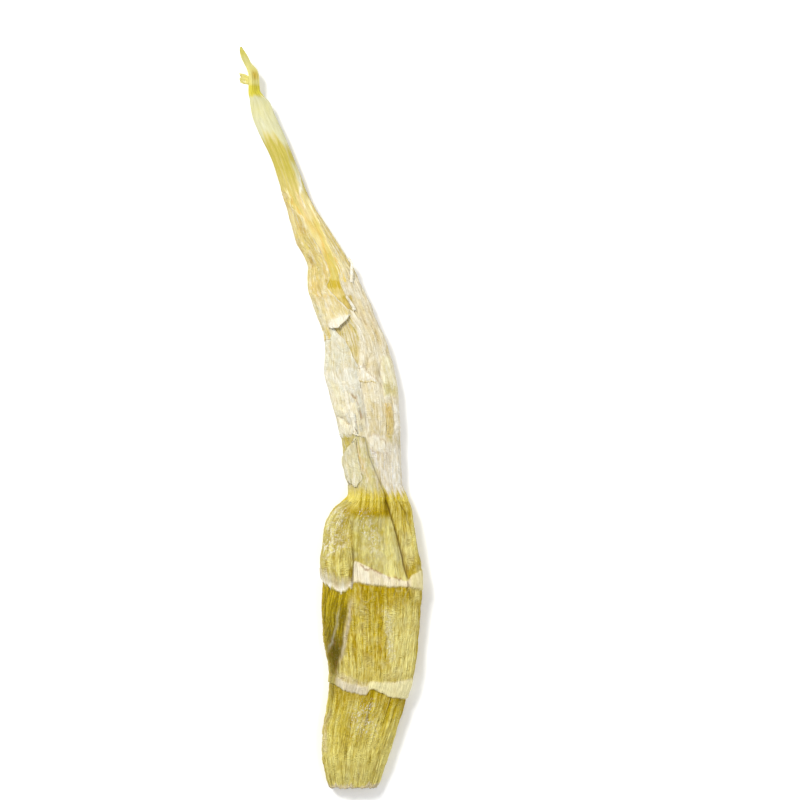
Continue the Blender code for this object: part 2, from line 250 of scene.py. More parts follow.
def raised(points, height):
    """The points moved outwards by a height, along the normals of the surface that they make."""
    along = np.gradient(points, axis=0)
    round_it = np.gradient(points, axis=1)
    normal = np.cross(round_it, along)
    normal /= np.maximum(np.linalg.norm(normal, axis=-1, keepdims=True), 1e-9)
    return points + normal * height[..., None]


class Places:
    """A grid of places on the shoot, and the noise, lines and areas that can be laid on it."""

    def __init__(self, distance, turn):
        self.distance, self.turn = distance, turn
        self.share, self.along = share_of(turn), distance / FULL_LENGTH
        self.x = section_points(distance, turn, 0.0)[..., 0]
        self.front = np.clip(2.5 * np.sin(np.radians(turn)), 0, 1)
        self.drawn_x = self.x + 0.35 * self.noise(901, 60, 150) + 0.15 * self.noise(902, 150, 400)
        self.drawn_distance = distance + 0.4 * self.noise(903, 60, 120) + 0.5 * self.noise(904, 220, 60)

    def noise(self, seed, across_cells, along_cells):
        return noise(seed, across_cells, along_cells, self.share, self.along)

    def past(self, low, high):
        """0 up to one distance and 1 past another."""
        return ease(low, high, self.distance)

    def before(self, low, high):
        """1 up to one distance and 0 past another."""
        return ease(high, low, self.distance)

    def ribs(self, seed, count, runs, wander=0.8, upright=False, beside=None):
        """Rounded ribs, from 0 in the sharp, wandering grooves between them to 1 on their tops.

        They fan out where the shoot widens, unless they are upright or lie beside a line.
        """
        drift = wander / count * self.noise(seed + 40, max(count // 5, 4), runs * 2)
        across = self.x / GIRTH if upright else self.share
        if beside:
            xs, distances = zip(*sorted(beside, key=lambda point: point[1]))
            across = (self.x - np.interp(self.distance, distances, xs)) / GIRTH
        plain = noise(seed, count, runs, across + drift, self.along)
        return np.clip(np.abs(plain) * 1.7, 0, 1) ** 0.75

    def net(self, seed, across_cells, along_cells, width):
        """Thin lines that join into an uneven net."""
        return np.exp(-((self.noise(seed, across_cells, along_cells) / width) ** 2))

    def specks(self, seed, across_cells, along_cells, low, high):
        """Small scattered spots."""
        return ease(low, high, self.noise(seed, across_cells, along_cells))

    def patchy(self, seed):
        """How strongly paper is crumpled, from patch to patch."""
        return np.clip(0.6 + 0.9 * self.noise(seed, 20, 30), 0.1, 1.5)

    def grains(self, seed, low=0.3, high=0.75):
        """Grains and small clusters of grains, half a millimetre across."""
        clusters = self.noise(seed + 1, 60, 200)
        return ease(low, high, self.noise(seed, 180, 620) + 0.6 * clusters)

    def from_line(self, line, x=None, distance=None):
        """How far each place is from a line, on which side, and the share of its length passed there."""
        x = self.drawn_x if x is None else x
        distance = self.drawn_distance if distance is None else distance
        nearest, side, share = np.full(x.shape, 1e9), np.zeros(x.shape), np.zeros(x.shape)
        whole = sum(np.hypot(x1 - x0, y1 - y0) for (x0, y0), (x1, y1) in zip(line, line[1:]))
        passed = 0.0
        for (x0, y0), (x1, y1) in zip(line, line[1:]):
            run_x, run_y = x1 - x0, y1 - y0
            length = np.hypot(run_x, run_y)
            t = np.clip(((x - x0) * run_x + (distance - y0) * run_y) / length**2, 0, 1)
            off_x, off_y = x - x0 - t * run_x, distance - y0 - t * run_y
            away = np.hypot(off_x, off_y)
            nearer = away < nearest
            nearest = np.where(nearer, away, nearest)
            side = np.where(nearer, np.sign(run_x * off_y - run_y * off_x), side)
            share = np.where(nearer, (passed + t * length) / whole, share)
            passed += length
        return nearest, side, share

    def tapered(self, strength, share, fade):
        """A line's strength, thinned out over its first and last shares and kept to the front."""
        return strength * ease(0, fade, share) * ease(0, fade, 1 - share) * self.front

    def line(self, half_width, points, fade=0.25):
        """A soft line that thins out at both ends."""
        away, _, share = self.from_line(points)
        return self.tapered(np.exp(-((away / half_width) ** 2)), share, fade)

    def crease_shade(self, half_width, points, fade=0.15):
        """The narrow bottom of a fold, where painted shade goes."""
        away, _, share = self.from_line(points, self.x, self.distance)
        return self.tapered(np.exp(-((away / half_width) ** 2)), share, fade)

    def fold(self, left_width, right_width, points, fade=0.2):
        """A fold whose two sides have their own widths. Its left side is the one with the smaller x."""
        away, side, share = self.from_line(points, self.x, self.distance)
        going_down = points[0][1] > points[-1][1]
        width = np.where((side < 0) == going_down, left_width, right_width)
        return self.tapered(np.exp(-((away / width) ** 1.5)), share, fade)

    def area(self, softness, corners):
        """A soft-edged patch with straight sides between its corners."""
        x, distance = self.drawn_x, self.drawn_distance
        inside = np.zeros(x.shape, bool)
        for (x0, y0), (x1, y1) in zip(corners, corners[1:] + corners[:1]):
            if y0 != y1:
                crossed = (y0 > distance) != (y1 > distance)
                inside ^= crossed & (x < x0 + (distance - y0) * (x1 - x0) / (y1 - y0))
        away = self.from_line(corners + corners[:1])[0]
        return (1 - ease(-softness, softness, np.where(inside, -away, away))) * self.front

    def body_folds(self):
        """The relief that all layers share: long swells, creases and folds."""
        slim = np.ptp(np.stack(smooth(OUTLINE, self.distance)), axis=0) / FULL_WIDTH
        off_waist = 1 - 0.75 * np.exp(-(((self.distance - WAIST) / WAIST_REACH) ** 2))
        swelling = off_waist * (1 - 0.45 * self.past(186, 200))
        height = slim * swelling * (0.40 * self.noise(801, 20, 20) + 0.26 * self.noise(802, 44, 56))
        for rise, left_width, right_width, points in FOLDS + RIDGES:
            height = height + rise * self.fold(left_width, right_width, points)
        return height * flat_share(self.turn)


BACK_TURNS = (186, 204, 336, 354)  # where the relief dies down, is gone, starts again and is back


def flat_share(turn):
    """1 on the front, the sides and turns under 0, and 0 on the back that the shoot lies on."""
    fading, gone, starting, back = BACK_TURNS
    return 1 - ease(fading, gone, turn) * (1 - ease(starting, back, turn))


def tinted(shape, base, *layers):
    """A colour for each point: a base, by its name or given, and layers over it, each a name and a mask."""
    palette = bpy.context.scene.shoot_colours
    base = getattr(palette, base) if isinstance(base, str) else base
    colour = np.broadcast_to(np.asarray(base, float), (*shape, 3)).copy()
    for name, mask in layers:
        share = np.clip(mask, 0, 1)[..., None]
        colour = colour * (1 - share) + np.asarray(getattr(palette, name), float) * share
    return colour


def deselect():
    for obj in bpy.context.selected_objects:
        obj.select_set(False)


def bent_grid(name, points, lie, tint, **masks):
    """A flat grid whose points are moved to their places, with its own UV map, tint and masks.

    The masks are shade, for painted shade at the bottoms of creases, salt, and calm, where there are few fine
    lines.
    """
    rows, columns = points.shape[:2]
    deselect()
    bpy.ops.mesh.primitive_grid_add(x_subdivisions=columns - 1, y_subdivisions=rows - 1, size=1)
    obj = bpy.context.active_object
    obj.name = obj.data.name = name
    mesh = obj.data
    places = (points.reshape(-1, 3) * MM + START).astype(np.float32)
    mesh.vertices.foreach_set("co", places.ravel())
    corner = np.empty(len(mesh.loops), np.int32)
    mesh.loops.foreach_get("vertex_index", corner)
    mesh.uv_layers.active.data.foreach_set("uv", lie.reshape(-1, 2)[corner].astype(np.float32).ravel())
    tint = np.concatenate([tint, np.ones((rows, columns, 1))], -1)
    mesh.attributes.new("tint", "FLOAT_COLOR", "POINT").data.foreach_set("color", tint.ravel())
    for mask in ("shade", "salt", "calm"):
        values = np.clip(masks.get(mask, np.zeros((rows, columns))), 0, 1)
        mesh.attributes.new(mask, "FLOAT", "POINT").data.foreach_set("value", values.ravel())
    mesh.update()
    return obj


MERGE_DISTANCE = 0.002


def closed_up():
    """Joins the two long sides of the grid that was just bent into a tube, and closes its ends."""
    bpy.ops.object.mode_set(mode="EDIT")
    bpy.ops.mesh.select_all(action="SELECT")
    bpy.ops.mesh.remove_doubles(threshold=MERGE_DISTANCE * MM)
    bpy.ops.mesh.select_all(action="SELECT")
    bpy.ops.mesh.fill_holes(sides=0)
    bpy.ops.mesh.select_all(action="SELECT")
    bpy.ops.mesh.normals_make_consistent(inside=False)
    bpy.ops.object.mode_set(mode="OBJECT")
    bpy.ops.object.shade_smooth()


def thickened(obj, thickness):
    """Gives a sheet its thickness, below its outer face."""
    solidify = obj.modifiers.new("thickness", "SOLIDIFY")
    solidify.thickness = thickness * MM
    solidify.offset = -1.0
    bpy.ops.object.modifier_apply(modifier=solidify.name)
    bpy.ops.object.shade_smooth()


def finished(obj, node, slot):
    """Gives a piece the material of what it is made of, hangs it on the root body and hides the node that it
    stands for.
    """
    obj.data.materials.clear()
    obj.data.materials.append(material_for(slot))
    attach(obj, "root")
    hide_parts(node)


# ---------------------------------------------------------------- the stem

STEM_ROWS = np.concatenate([np.arange(0.0, 116.0, ROW_STEP), np.arange(116.0, 127.0, 1.0)])
STEM_FRONT_COLUMNS, STEM_BACK_COLUMNS = 170, 70
STEM_INSET = [(0, 0), (105, 0), (109, 0.6), (112, 1.6), (120, 2.2), (127, 2.4)]
CUT_RINGS = 12
SLIT_WIDTH = 0.55  # width of the pressed-shut hollow, as a share of the stem's
SLIT_DEPTH = 1.6  # how far in the hollow closes
FACE_BULGE = 0.9  # four times how far the cut face bulges between the hollow and the rim

# Where the two straps that flank the upper internode's panel have their edges: distance and place across.
LEFT_STRAP_EDGE = [(66, 7), (78, 8), (88, 8.3), (96, 8.2), (104, 7.6)]
RIGHT_STRAP_EDGE = [(72, 29.8), (80, 29.3), (88, 27.6), (97, 25), (105, 22.6)]

# The sunken patch beside the fold in the middle internode, seen from above.
SUNKEN = [(-9, 64), (2, 64), (4.8, 56), (3.4, 50), (1.8, 43), (1, 36), (-1.2, 28), (-9, 26)]


class Stem(Places):
    """The places of the stem, and how much of a joint, an internode, a strap or a rib there is at each."""

    def __init__(self, distance, turn):
        super().__init__(distance, turn)
        self.streak, self.mottle = joint_streaks(self), self.noise(23, 30, 60)
        self.flecks = self.noise(25, 150, 300)
        self.mark_joints()
        self.mark_internodes()
        self.mark_ribs()
        self.mark_patches()

    def mark_joints(self):
        self.upper_start, upper_stop = smooth(UPPER_JOINT, self.x)
        self.lower_start, lower_stop = smooth(LOWER_JOINT, self.x)
        self.jagged = self.distance + 0.20 * self.noise(31, 90, 60) + 0.12 * self.noise(32, 230, 60)
        smoother = self.distance + 0.14 * self.noise(31, 90, 60)
        upper = ease(self.upper_start - 0.6, self.upper_start + 0.6, self.jagged)
        self.upper = upper * (1 - ease(upper_stop - 0.3, upper_stop + 0.3, smoother))
        lower = ease(self.lower_start - 0.3, self.lower_start + 0.3, self.jagged)
        self.lower = lower * (1 - ease(lower_stop - 0.5, lower_stop + 0.9, self.jagged))
        self.joint = np.maximum(self.upper, self.lower)
        self.bare = 1 - self.joint
        uneven = self.noise(33, 170, 30)
        left_part = 1 - ease(7.6, 8.4, self.x)
        faded = ease(self.upper_start - 0.2, self.upper_start + 0.9, self.distance + 1.1 * uneven)
        faded = faded * (1 - ease(upper_stop - 2.6, upper_stop + 2.6, self.distance + 1.8 * uneven))
        self.faded_ring = faded * left_part
        cream = np.maximum(self.upper * (1 - left_part), self.faded_ring)
        cream = np.maximum(cream, self.lower * ease(0.6, 2.8, self.x))
        self.cream = cream * (1 - 0.15 * self.specks(34, 200, 40, 0.0, 0.6))

    def mark_internodes(self):
        self.lowest = 1 - ease(-0.3, 0.3, self.jagged - self.lower_start)
        self.middle = (1 - ease(-0.3, 0.3, self.jagged - self.upper_start)) * (1 - self.lowest)
        self.highest = 1 - self.lowest - self.middle
        next_joint = np.where(self.middle > 0.5, self.upper_start, THIRD_JOINT)
        next_joint = np.where(self.lowest > 0.5, self.lower_start, next_joint)
        self.below = np.clip(next_joint - self.distance, 0, None)
        fresh_reach = 7.5 + 5.0 * self.streak + 2.0 * self.noise(26, 20, 30)
        self.fresh = np.exp(-((self.below / fresh_reach) ** 2)) * self.bare
        past_left = ease(-0.4, 0.4, self.x - bent_line(LEFT_STRAP_EDGE, self.distance))
        self.left_strap = (1 - past_left) * self.highest * self.front
        past_right = ease(-0.4, 0.4, self.x - bent_line(RIGHT_STRAP_EDGE, self.distance))
        self.right_strap = past_right * self.highest * self.front
        self.panel = self.highest * (1 - self.left_strap) * (1 - self.right_strap) * self.front
        self.rim = rim_mask(self) * (1 - self.left_strap) * (1 - self.right_strap)

    def mark_ribs(self):
        """The ribs' heights, and where a place lies between the bottom of a groove and the top of a rib."""
        self.broad, self.fine, self.upright = self.ribs(3, 60, 16), self.ribs(5, 150, 26), upright_ribs(self)
        self.broad_share = 0.45 * self.lowest + 0.35 * self.middle + 0.15 * self.highest
        self.fine_share = 0.90 * self.lowest + 0.90 * self.middle + 0.35 * self.highest
        shared = self.broad * self.broad_share + self.fine * self.fine_share
        plain = shared / (self.broad_share + self.fine_share)
        self.rib = plain * (1 - self.rim) + self.upright * self.rim
        self.groove = (1 - self.rib) ** 1.8
        self.top = ease(0.6, 1.0, self.rib)

    def mark_patches(self):
        """The patches that more than one colour is laid in."""
        self.strap_side = self.area(1.3, [(5.6, 108), (8, 108), (8.4, 77), (5, 77)])
        self.olive = self.area(2.0, [(-6, 77), (8, 78), (6.8, 66), (4.6, 54), (-1, 42), (-6, 42)])
        self.fan = self.olive * self.bare * self.middle
        self.straw_right = self.area(3.0, [(20, 70), (36, 72), (36, 42), (22, 42)])
        self.pale_part = np.maximum(self.straw_right, 0.6 * self.before(45, 53))
        crust = self.net(52, 90, 300, 0.22) * self.specks(56, 40, 120, -0.2, 0.4)
        self.strap_crust = crust * self.area(3.5, [(-4, 106), (5, 106), (4.4, 86), (-5, 88)])
        self.salty = np.maximum.reduce([
            self.area(2.5, [(8, 33), (16, 34), (18, 20), (8, 20)]),
            0.8 * self.area(2.0, [(9.5, 107), (15, 106), (20, 92), (16, 88), (11, 98)]),
            0.9 * self.area(3.0, [(-5, 105), (5, 107), (5.5, 92), (-4, 92)]),
            0.8 * self.area(1.5, [(20, 70), (22.6, 70), (24.6, 49), (21.4, 49)]),
        ])
        self.salt = self.salty + 0.5 * crust * self.left_strap


def joint_streaks(at):
    """Uneven ends of the fresh colour below each joint, which the rim and the sheaths over it share."""
    return at.noise(24, 130, 22)


def upright_ribs(at):
    """The upright pleats at the third joint, which the sheaths over it share."""
    return at.ribs(6, 80, 14, 0.3, upright=True)


def rim_mask(at):
    """The band right below the third joint, where the stem is ribbed and bulges."""
    return ease(102.6, 105.2, at.distance + 0.5 * joint_streaks(at)) * at.front


def rim_layers(at, mask):
    """The gold of the upright pleats at the third joint, pale on their upper parts."""
    ribs = upright_ribs(at)
    upper_part = at.past(104.4, 108.4)
    return (
        ("deep", mask),
        ("gold", 0.5 * mask * upper_part),
        ("groove", 0.38 * mask * ease(0.45, 0.95, (1 - ribs) ** 1.8)),
        ("rib_light", 0.42 * mask * ease(0.40, 0.95, ribs) * upper_part),
    )


def stem_relief(at, rib_height):
    """The stem's relief, in millimetres."""
    near_joint = np.exp(-at.below / 7)
    strength = 0.55 + 0.45 * near_joint + 0.45 * at.noise(7, 24, 26)
    strength = np.clip(strength, 0.15, 1.3) * (1 - 0.92 * at.joint) * (1 + 0.5 * at.right_strap)
    wrinkles = at.ribs(9, 50, 190, 2.0)
    wrinkled = 0.3 + 0.9 * at.specks(10, 16, 30, -0.1, 0.5)
    standing = 1 - at.past(106, 109.5)
    off_panel = 1 - 0.6 * at.panel
    ribbed = at.broad_share * (at.broad - 0.55) + 0.6 * at.fine_share * (at.fine - 0.55)
    swollen = 0.65 * at.rim + 0.6 * at.left_strap * at.past(76, 86) + 0.5 * at.right_strap
    height = (
        at.body_folds()
        + rib_height * 1.6 * ribbed * strength
        + rib_height * 1.3 * at.rim * (at.upright - 0.5)
        + 0.22 * (wrinkles - 0.4) * wrinkled * (1 - 0.6 * near_joint) * (1 - 0.7 * at.joint) * off_panel
        + 0.13 * at.noise(13, 120, 200) * off_panel
        + (0.40 + 0.08 * at.noise(14, 100, 160)) * at.joint
        - 0.35 * np.exp(-at.below / 1.6) * (1 - at.joint) * (at.distance < 100)
        + standing * swollen
    )
    height = height - 1.4 * at.area(3.0, SUNKEN)
    return height * (0.25 + 0.75 * flat_share(at.turn))


def ground_layers(at):
    """The bare stem under its ribs: golden below each joint, paler further down, dull on the panel, with
    painted shade on the left lobe's right side and on the fan.
    """
    streaked = at.distance + 2 * at.streak
    off_rim = 1 - at.rim
    grains = at.grains(60, -0.3, 0.6) * (at.panel + at.left_strap) * (1 - at.strap_side)
    return (
        ("straw", (0.16 + 0.50 * at.mottle + 0.12 * at.highest) * (1 - 0.6 * at.middle)),
        ("straw", at.straw_right * (1 - 0.6 * at.fresh)),
        ("rib_light", 0.75 * at.lowest * at.before(8, 32)),
        ("straw", 0.65 * at.middle * at.before(46, 55)),
        ("panel", 0.85 * at.panel * off_rim),
        ("lichen", 0.30 * at.area(3.0, [(13, 98), (20.6, 97), (21.4, 85), (12, 84)])),
        ("straw", 0.6 * at.panel * ease(19, 23, at.x) * off_rim),
        ("straw", 0.35 * (at.left_strap + at.right_strap)),
        ("panel", 0.75 * at.left_strap),
        ("straw", 0.25 * at.left_strap),
        ("bloom", 0.06 * grains),
        ("deep", 0.9 * at.fresh * (1 - at.highest)),
        ("deep", 0.75 * at.strap_side),
        ("deep", 0.50 * at.right_strap * ease(97, 106, streaked)),
        ("gold", 0.55 * at.right_strap * ease(94, 104, streaked)),
        ("deep", 0.35 * at.right_strap),
        ("deep", 0.7 * at.area(1.4, [(16.4, 56), (19.4, 55), (19, 46), (17, 46)])),
        ("olive", at.fan * (0.78 + 0.6 * at.groove)),
        # Painted shade in the fan, which turns down into shadow: darkest in its grooves.
        ("dusk_shade_and_stain", at.fan * ease(0.20, 0.65, at.groove)),
        ("gold", 0.45 * at.fan * at.top),
        ("deep", 0.6 * at.olive * at.middle * at.past(66, 73) * (1 - at.groove)),
        # Painted shade on the left lobe's right side, which slopes down into the fold.
        ("dusk_shade_and_stain", 0.5 * at.area(1.3, [(6, 92), (8.3, 92), (8.3, 77), (5.4, 77)])),
        # Painted shade on the fan's lower part.
        ("dusk_shade_and_stain", 0.45 * at.fan * at.before(64, 72)),
    )


def rib_layers(at):
    """Dark grooves and pale tops of the ribs, the haze over them, the fan of ribs beside the fold with
    painted shade in its grooves, and a painted highlight along the right strap's edge.
    """
    off_panel = 1 - 0.6 * at.panel
    unfaded = at.middle * (1 - at.pale_part)
    grooved = (0.8 * at.lowest + at.middle * (1 - 0.8 * at.straw_right)) * at.bare
    right_grooved = at.right_strap * (1 - 0.5 * at.past(88, 98))
    tops = (0.60 - 0.20 * unfaded) * at.top * (1 - 0.6 * at.fresh) * (1 - 0.8 * at.olive)
    hazy = (at.bare - 0.7 * at.lowest - 0.4 * at.middle) * (1 - at.fresh) * (1 - at.olive) * (1 - at.rim)
    fan = at.ribs(63, 200, 36, 0.8, beside=FAN_RIDGE)
    return (
        ("deep", (0.70 * at.groove + 0.65 * unfaded) * at.bare * off_panel),
        ("groove", 0.80 * ease(0.45, 0.90, at.groove) * grooved),
        ("groove", 0.65 * ease(0.30, 0.85, at.groove) * right_grooved),
        ("straw", 0.45 * ease(0.3, 0.9, at.rib) * at.right_strap * at.past(84, 94)),
        # Painted highlight along the left edge of the bulging right strap.
        ("rib_light", 0.60 * at.line(0.6, [(23.6, 107), (26.2, 98), (28.6, 90), (30, 83)], 0.2)),
        ("deep", 0.35 * at.right_strap * (1 - at.top)),
        ("rib_light", tops * off_panel),
        ("deep", 0.30 * ease(0.1, 0.8, at.flecks) * at.bare),
        ("haze", 0.35 * ease(0.1, 0.9, at.noise(62, 46, 120)) * hazy),
        ("rib_light", 0.25 * ease(0.1, 0.8, -at.flecks) * at.bare * (1 - 0.9 * at.olive)),
        ("olive", 0.45 * at.fan * at.before(66, 76)),
        # Painted shade in the grooves of the fan's ribs.
        ("dusk_shade_and_stain", 0.50 * at.fan * ease(0.06, 0.50, (1 - fan) ** 1.8)),
        ("gold", 0.35 * at.fan * ease(0.6, 0.98, fan) * at.past(50, 64)),
        *rim_layers(at, at.rim),
    )


def joint_layers(at):
    """The cream joints and the stains along them, and the greyish streaks between them."""
    grey_streak = at.area(0.9, [(20.4, 68), (22.4, 68), (24.4, 49), (21.8, 49)])
    netted = at.net(70, 60, 110, 0.12) * at.specks(71, 30, 30, 0.0, 0.5) * at.bare
    above_start = at.distance - at.upper_start
    left_band = at.lower * (1 - ease(13.2, 14.2, at.x))
    band_edge = at.line(0.3, [(2, 43.6), (5, 42), (9, 40.8), (13.6, 39.6)], 0.1)
    return (
        ("lichen", 0.85 * grey_streak * (0.6 + 0.5 * at.flecks)),
        ("lichen", 0.40 * netted * (at.middle + at.lowest) * (1 - at.olive)),
        ("cream", 0.55 * at.area(1.0, [(1.5, 45), (7, 43.5), (14, 40.4), (13, 37.5), (2, 40)])),
        ("straw", 0.65 * at.area(1.2, [(30.2, 78), (34.6, 79), (34.6, 70.6), (31.2, 71.4)])),
        ("cream", at.cream * (0.95 - 0.12 * at.streak)),
        ("white", 0.35 * at.cream * ease(0.1, 0.7, at.mottle)),
        ("blush", 0.16 * at.cream * ease(0.0, 0.7, at.flecks)),
        ("blush", 0.55 * at.joint * ease(0.5, 0.9, at.groove) * at.specks(61, 60, 24, -0.1, 0.4)),
        ("joint_mauve", 0.5 * at.faded_ring * (0.7 + 0.5 * at.mottle)),
        ("white", 0.70 * at.faded_ring * np.clip(1.5 * at.streak + 0.1, 0, 1)),
        ("blush", 0.38 * at.faded_ring * ease(0.1, 0.6, -at.streak)),
        ("panel", 0.45 * at.faded_ring * ease(1.0, 3.6, above_start)),
        ("white", 0.40 * at.faded_ring * ease(2.2, 0.4, above_start)),
        ("straw", 0.45 * at.upper * ease(29.5, 30.5, at.x)),
        ("bright_cream", 0.9 * at.cream * at.lower * ease(13.8, 14.6, at.x)),
        ("joint_mauve", 0.4 * left_band * ease(0.6, 2.8, at.x)),
        ("blush", 0.45 * band_edge * at.specks(57, 70, 100, -0.3, 0.3)),
    )


def stain_layers(at):
    """Painted shade on the sunken patch, salt and crust, pale ridges with a painted highlight on the fan's
    ridge, a reddish line and the frayed cut edge.
    """
    sunken_shade = at.area(2.0, [(-6, 62), (1, 60), (4.4, 55), (3.4, 50), (1.8, 43), (0.8, 38), (-1, 31),
                          (-2.2, 25), (-6, 24)])
    blush = at.line(0.32, [(8.6, 87), (12, 85), (17, 83.2), (24, 80.5), (29, 79.2)], 0.1)
    ragged = at.distance + 0.9 * at.noise(55, 120, 90) + 0.5 * at.noise(59, 30, 90)
    return (
        # Painted shade on the side of the shoot that turns down beside the fold.
        ("dusk_shade_and_stain", 0.80 * sunken_shade * (0.85 + 0.3 * at.mottle)),
        ("blush", 0.30 * sunken_shade * ease(0.0, 0.8, at.flecks)),
        ("bloom", 0.30 * at.salty * at.grains(53)),
        ("bloom", 0.75 * at.strap_crust),
        ("rib_light", 0.45 * at.line(0.9, [(6.6, 95), (6.4, 88), (5.8, 80)], 0.2)),
        # Pale mauve along the fan's ridge: partly its own colour, partly a painted highlight on the ridge's
        # lit edge.
        ("joint_mauve", 0.70 * at.line(0.75, FAN_RIDGE)),
        ("grey", 0.45 * at.line(0.55, [(3.8, 71), (1.8, 62), (-0.6, 55), (-3, 49)])),
        ("blush", 0.8 * blush * at.specks(54, 70, 100, -0.6, 0.1)),
        ("cream", 0.7 * at.area(0.8, [(-5, 28), (-1.8, 28), (-2.2, 14), (-5, 14)])),
        ("cream", 0.95 * (1 - ease(0.5, 1.7, ragged))),
    )


def stem_tint(at):
    layers = *ground_layers(at), *rib_layers(at), *joint_layers(at), *stain_layers(at)
    # Painted shade along the bottoms of the folds and along a few dark lines.
    creases = (
        0.70 * at.crease_shade(0.30, MAIN_FOLD) * at.before(84, 98)
        + 0.95 * at.crease_shade(0.24, RIGHT_FOLD, 0.08)
        + 0.6 * at.line(0.28, [(25.8, 110), (27, 106.6), (28.3, 103.6), (29.6, 99)], 0.15)
        + 0.6 * at.line(0.25, [(29.2, 80), (29.4, 76), (29.8, 71.6)], 0.1)
        + 0.45 * at.line(0.4, [(31, 101), (33.2, 90), (34.4, 80)], 0.1)
    )
    calm = np.maximum.reduce([0.55 * at.cream, 0.85 * at.panel * (1 - at.rim), 0.5 * at.olive * at.middle])
    return tinted(at.distance.shape, "gold", *layers), {"shade": creases, "salt": at.salt, "calm": calm}


def cut_face(rim, turns, shares):
    """Rings from the pressed-shut hollow, a little way in, out to the stem's rim, and their colours."""
    left, right = smooth(OUTLINE, 0.0)
    slit_x = (left + right) / 2 + (right - left) / 2 * SLIT_WIDTH * np.cos(np.radians(turns))
    slit = np.stack([slit_x, np.full_like(slit_x, SLIT_DEPTH), np.full_like(slit_x, rim[:, 2].mean())], -1)
    outwards = np.linspace(0, 1, CUT_RINGS, endpoint=False)[:, None]
    face = slit * (1 - outwards[..., None]) + rim * outwards[..., None]
    bumps = noise(19, 60, 8, shares, outwards)
    face[..., 1] += 0.25 * bumps * (outwards > 0) - FACE_BULGE * outwards * (1 - outwards)
    return face, tinted(bumps.shape, "cut_face", ("deep", 0.5 * np.clip(bumps, 0, 1)))


def make_stem(rib_height):
    """The bare stem, from its cut face to where the sheaths hide it, with ribs of a height in millimetres."""
    front = turn_of(np.linspace(0, share_of(180.0), STEM_FRONT_COLUMNS + 1))
    back = turn_of(np.linspace(share_of(180.0), WHOLE_GIRTH, STEM_BACK_COLUMNS + 1))[1:]
    turns = np.concatenate([front, back[:-1], [360.0]])[::-1]
    distance, turn = np.meshgrid(STEM_ROWS, turns, indexing="ij")
    at = Stem(distance, np.where(turn >= 360, 359.999, turn))
    height = stem_relief(at, rib_height)
    height[:, 0] = height[:, -1]
    points = raised(section_points(distance, turn, smooth(STEM_INSET, distance)[0]), height)
    points[:, 0] = points[:, -1]
    points[..., 2] = np.maximum(points[..., 2], 0.0)
    ragged = (0.22 * at.noise(17, 120, 4) + 0.3 * at.noise(18, 25, 4)) * np.exp(-distance / 1.5)
    points[..., 1] += ragged
    face, face_tint = cut_face(points[0], turns, at.share[:1])
    top = points[-1]
    middle = np.stack([top[:, 0], top[:, 1] + 1.0, np.full_like(turns, top[:, 2].mean())], -1)
    cover = np.stack([top * (1 - t) + middle * t for t in (0.5, 1)])
    all_points = np.concatenate([face, points, cover])
    tint, areas = stem_tint(at)
    tint = np.concatenate([face_tint, tint, np.repeat(tint[-1:], 2, 0)])
    areas = {name: np.pad(values, ((CUT_RINGS, 2), (0, 0))) for name, values in areas.items()}
    around = np.linspace(0, GIRTH, len(turns))
    before, after = -1 - np.arange(CUT_RINGS)[::-1] * 0.5, STEM_ROWS[-1] + np.array([1, 2])
    lie = np.stack(np.meshgrid(around, np.concatenate([before, STEM_ROWS, after]), indexing="xy"), -1) * MM
    obj = bent_grid("stem_flesh", all_points, lie, tint, **areas)
    closed_up()
    finished(obj, "stem", "stem")


# ---------------------------------------------------------------- the sheaths

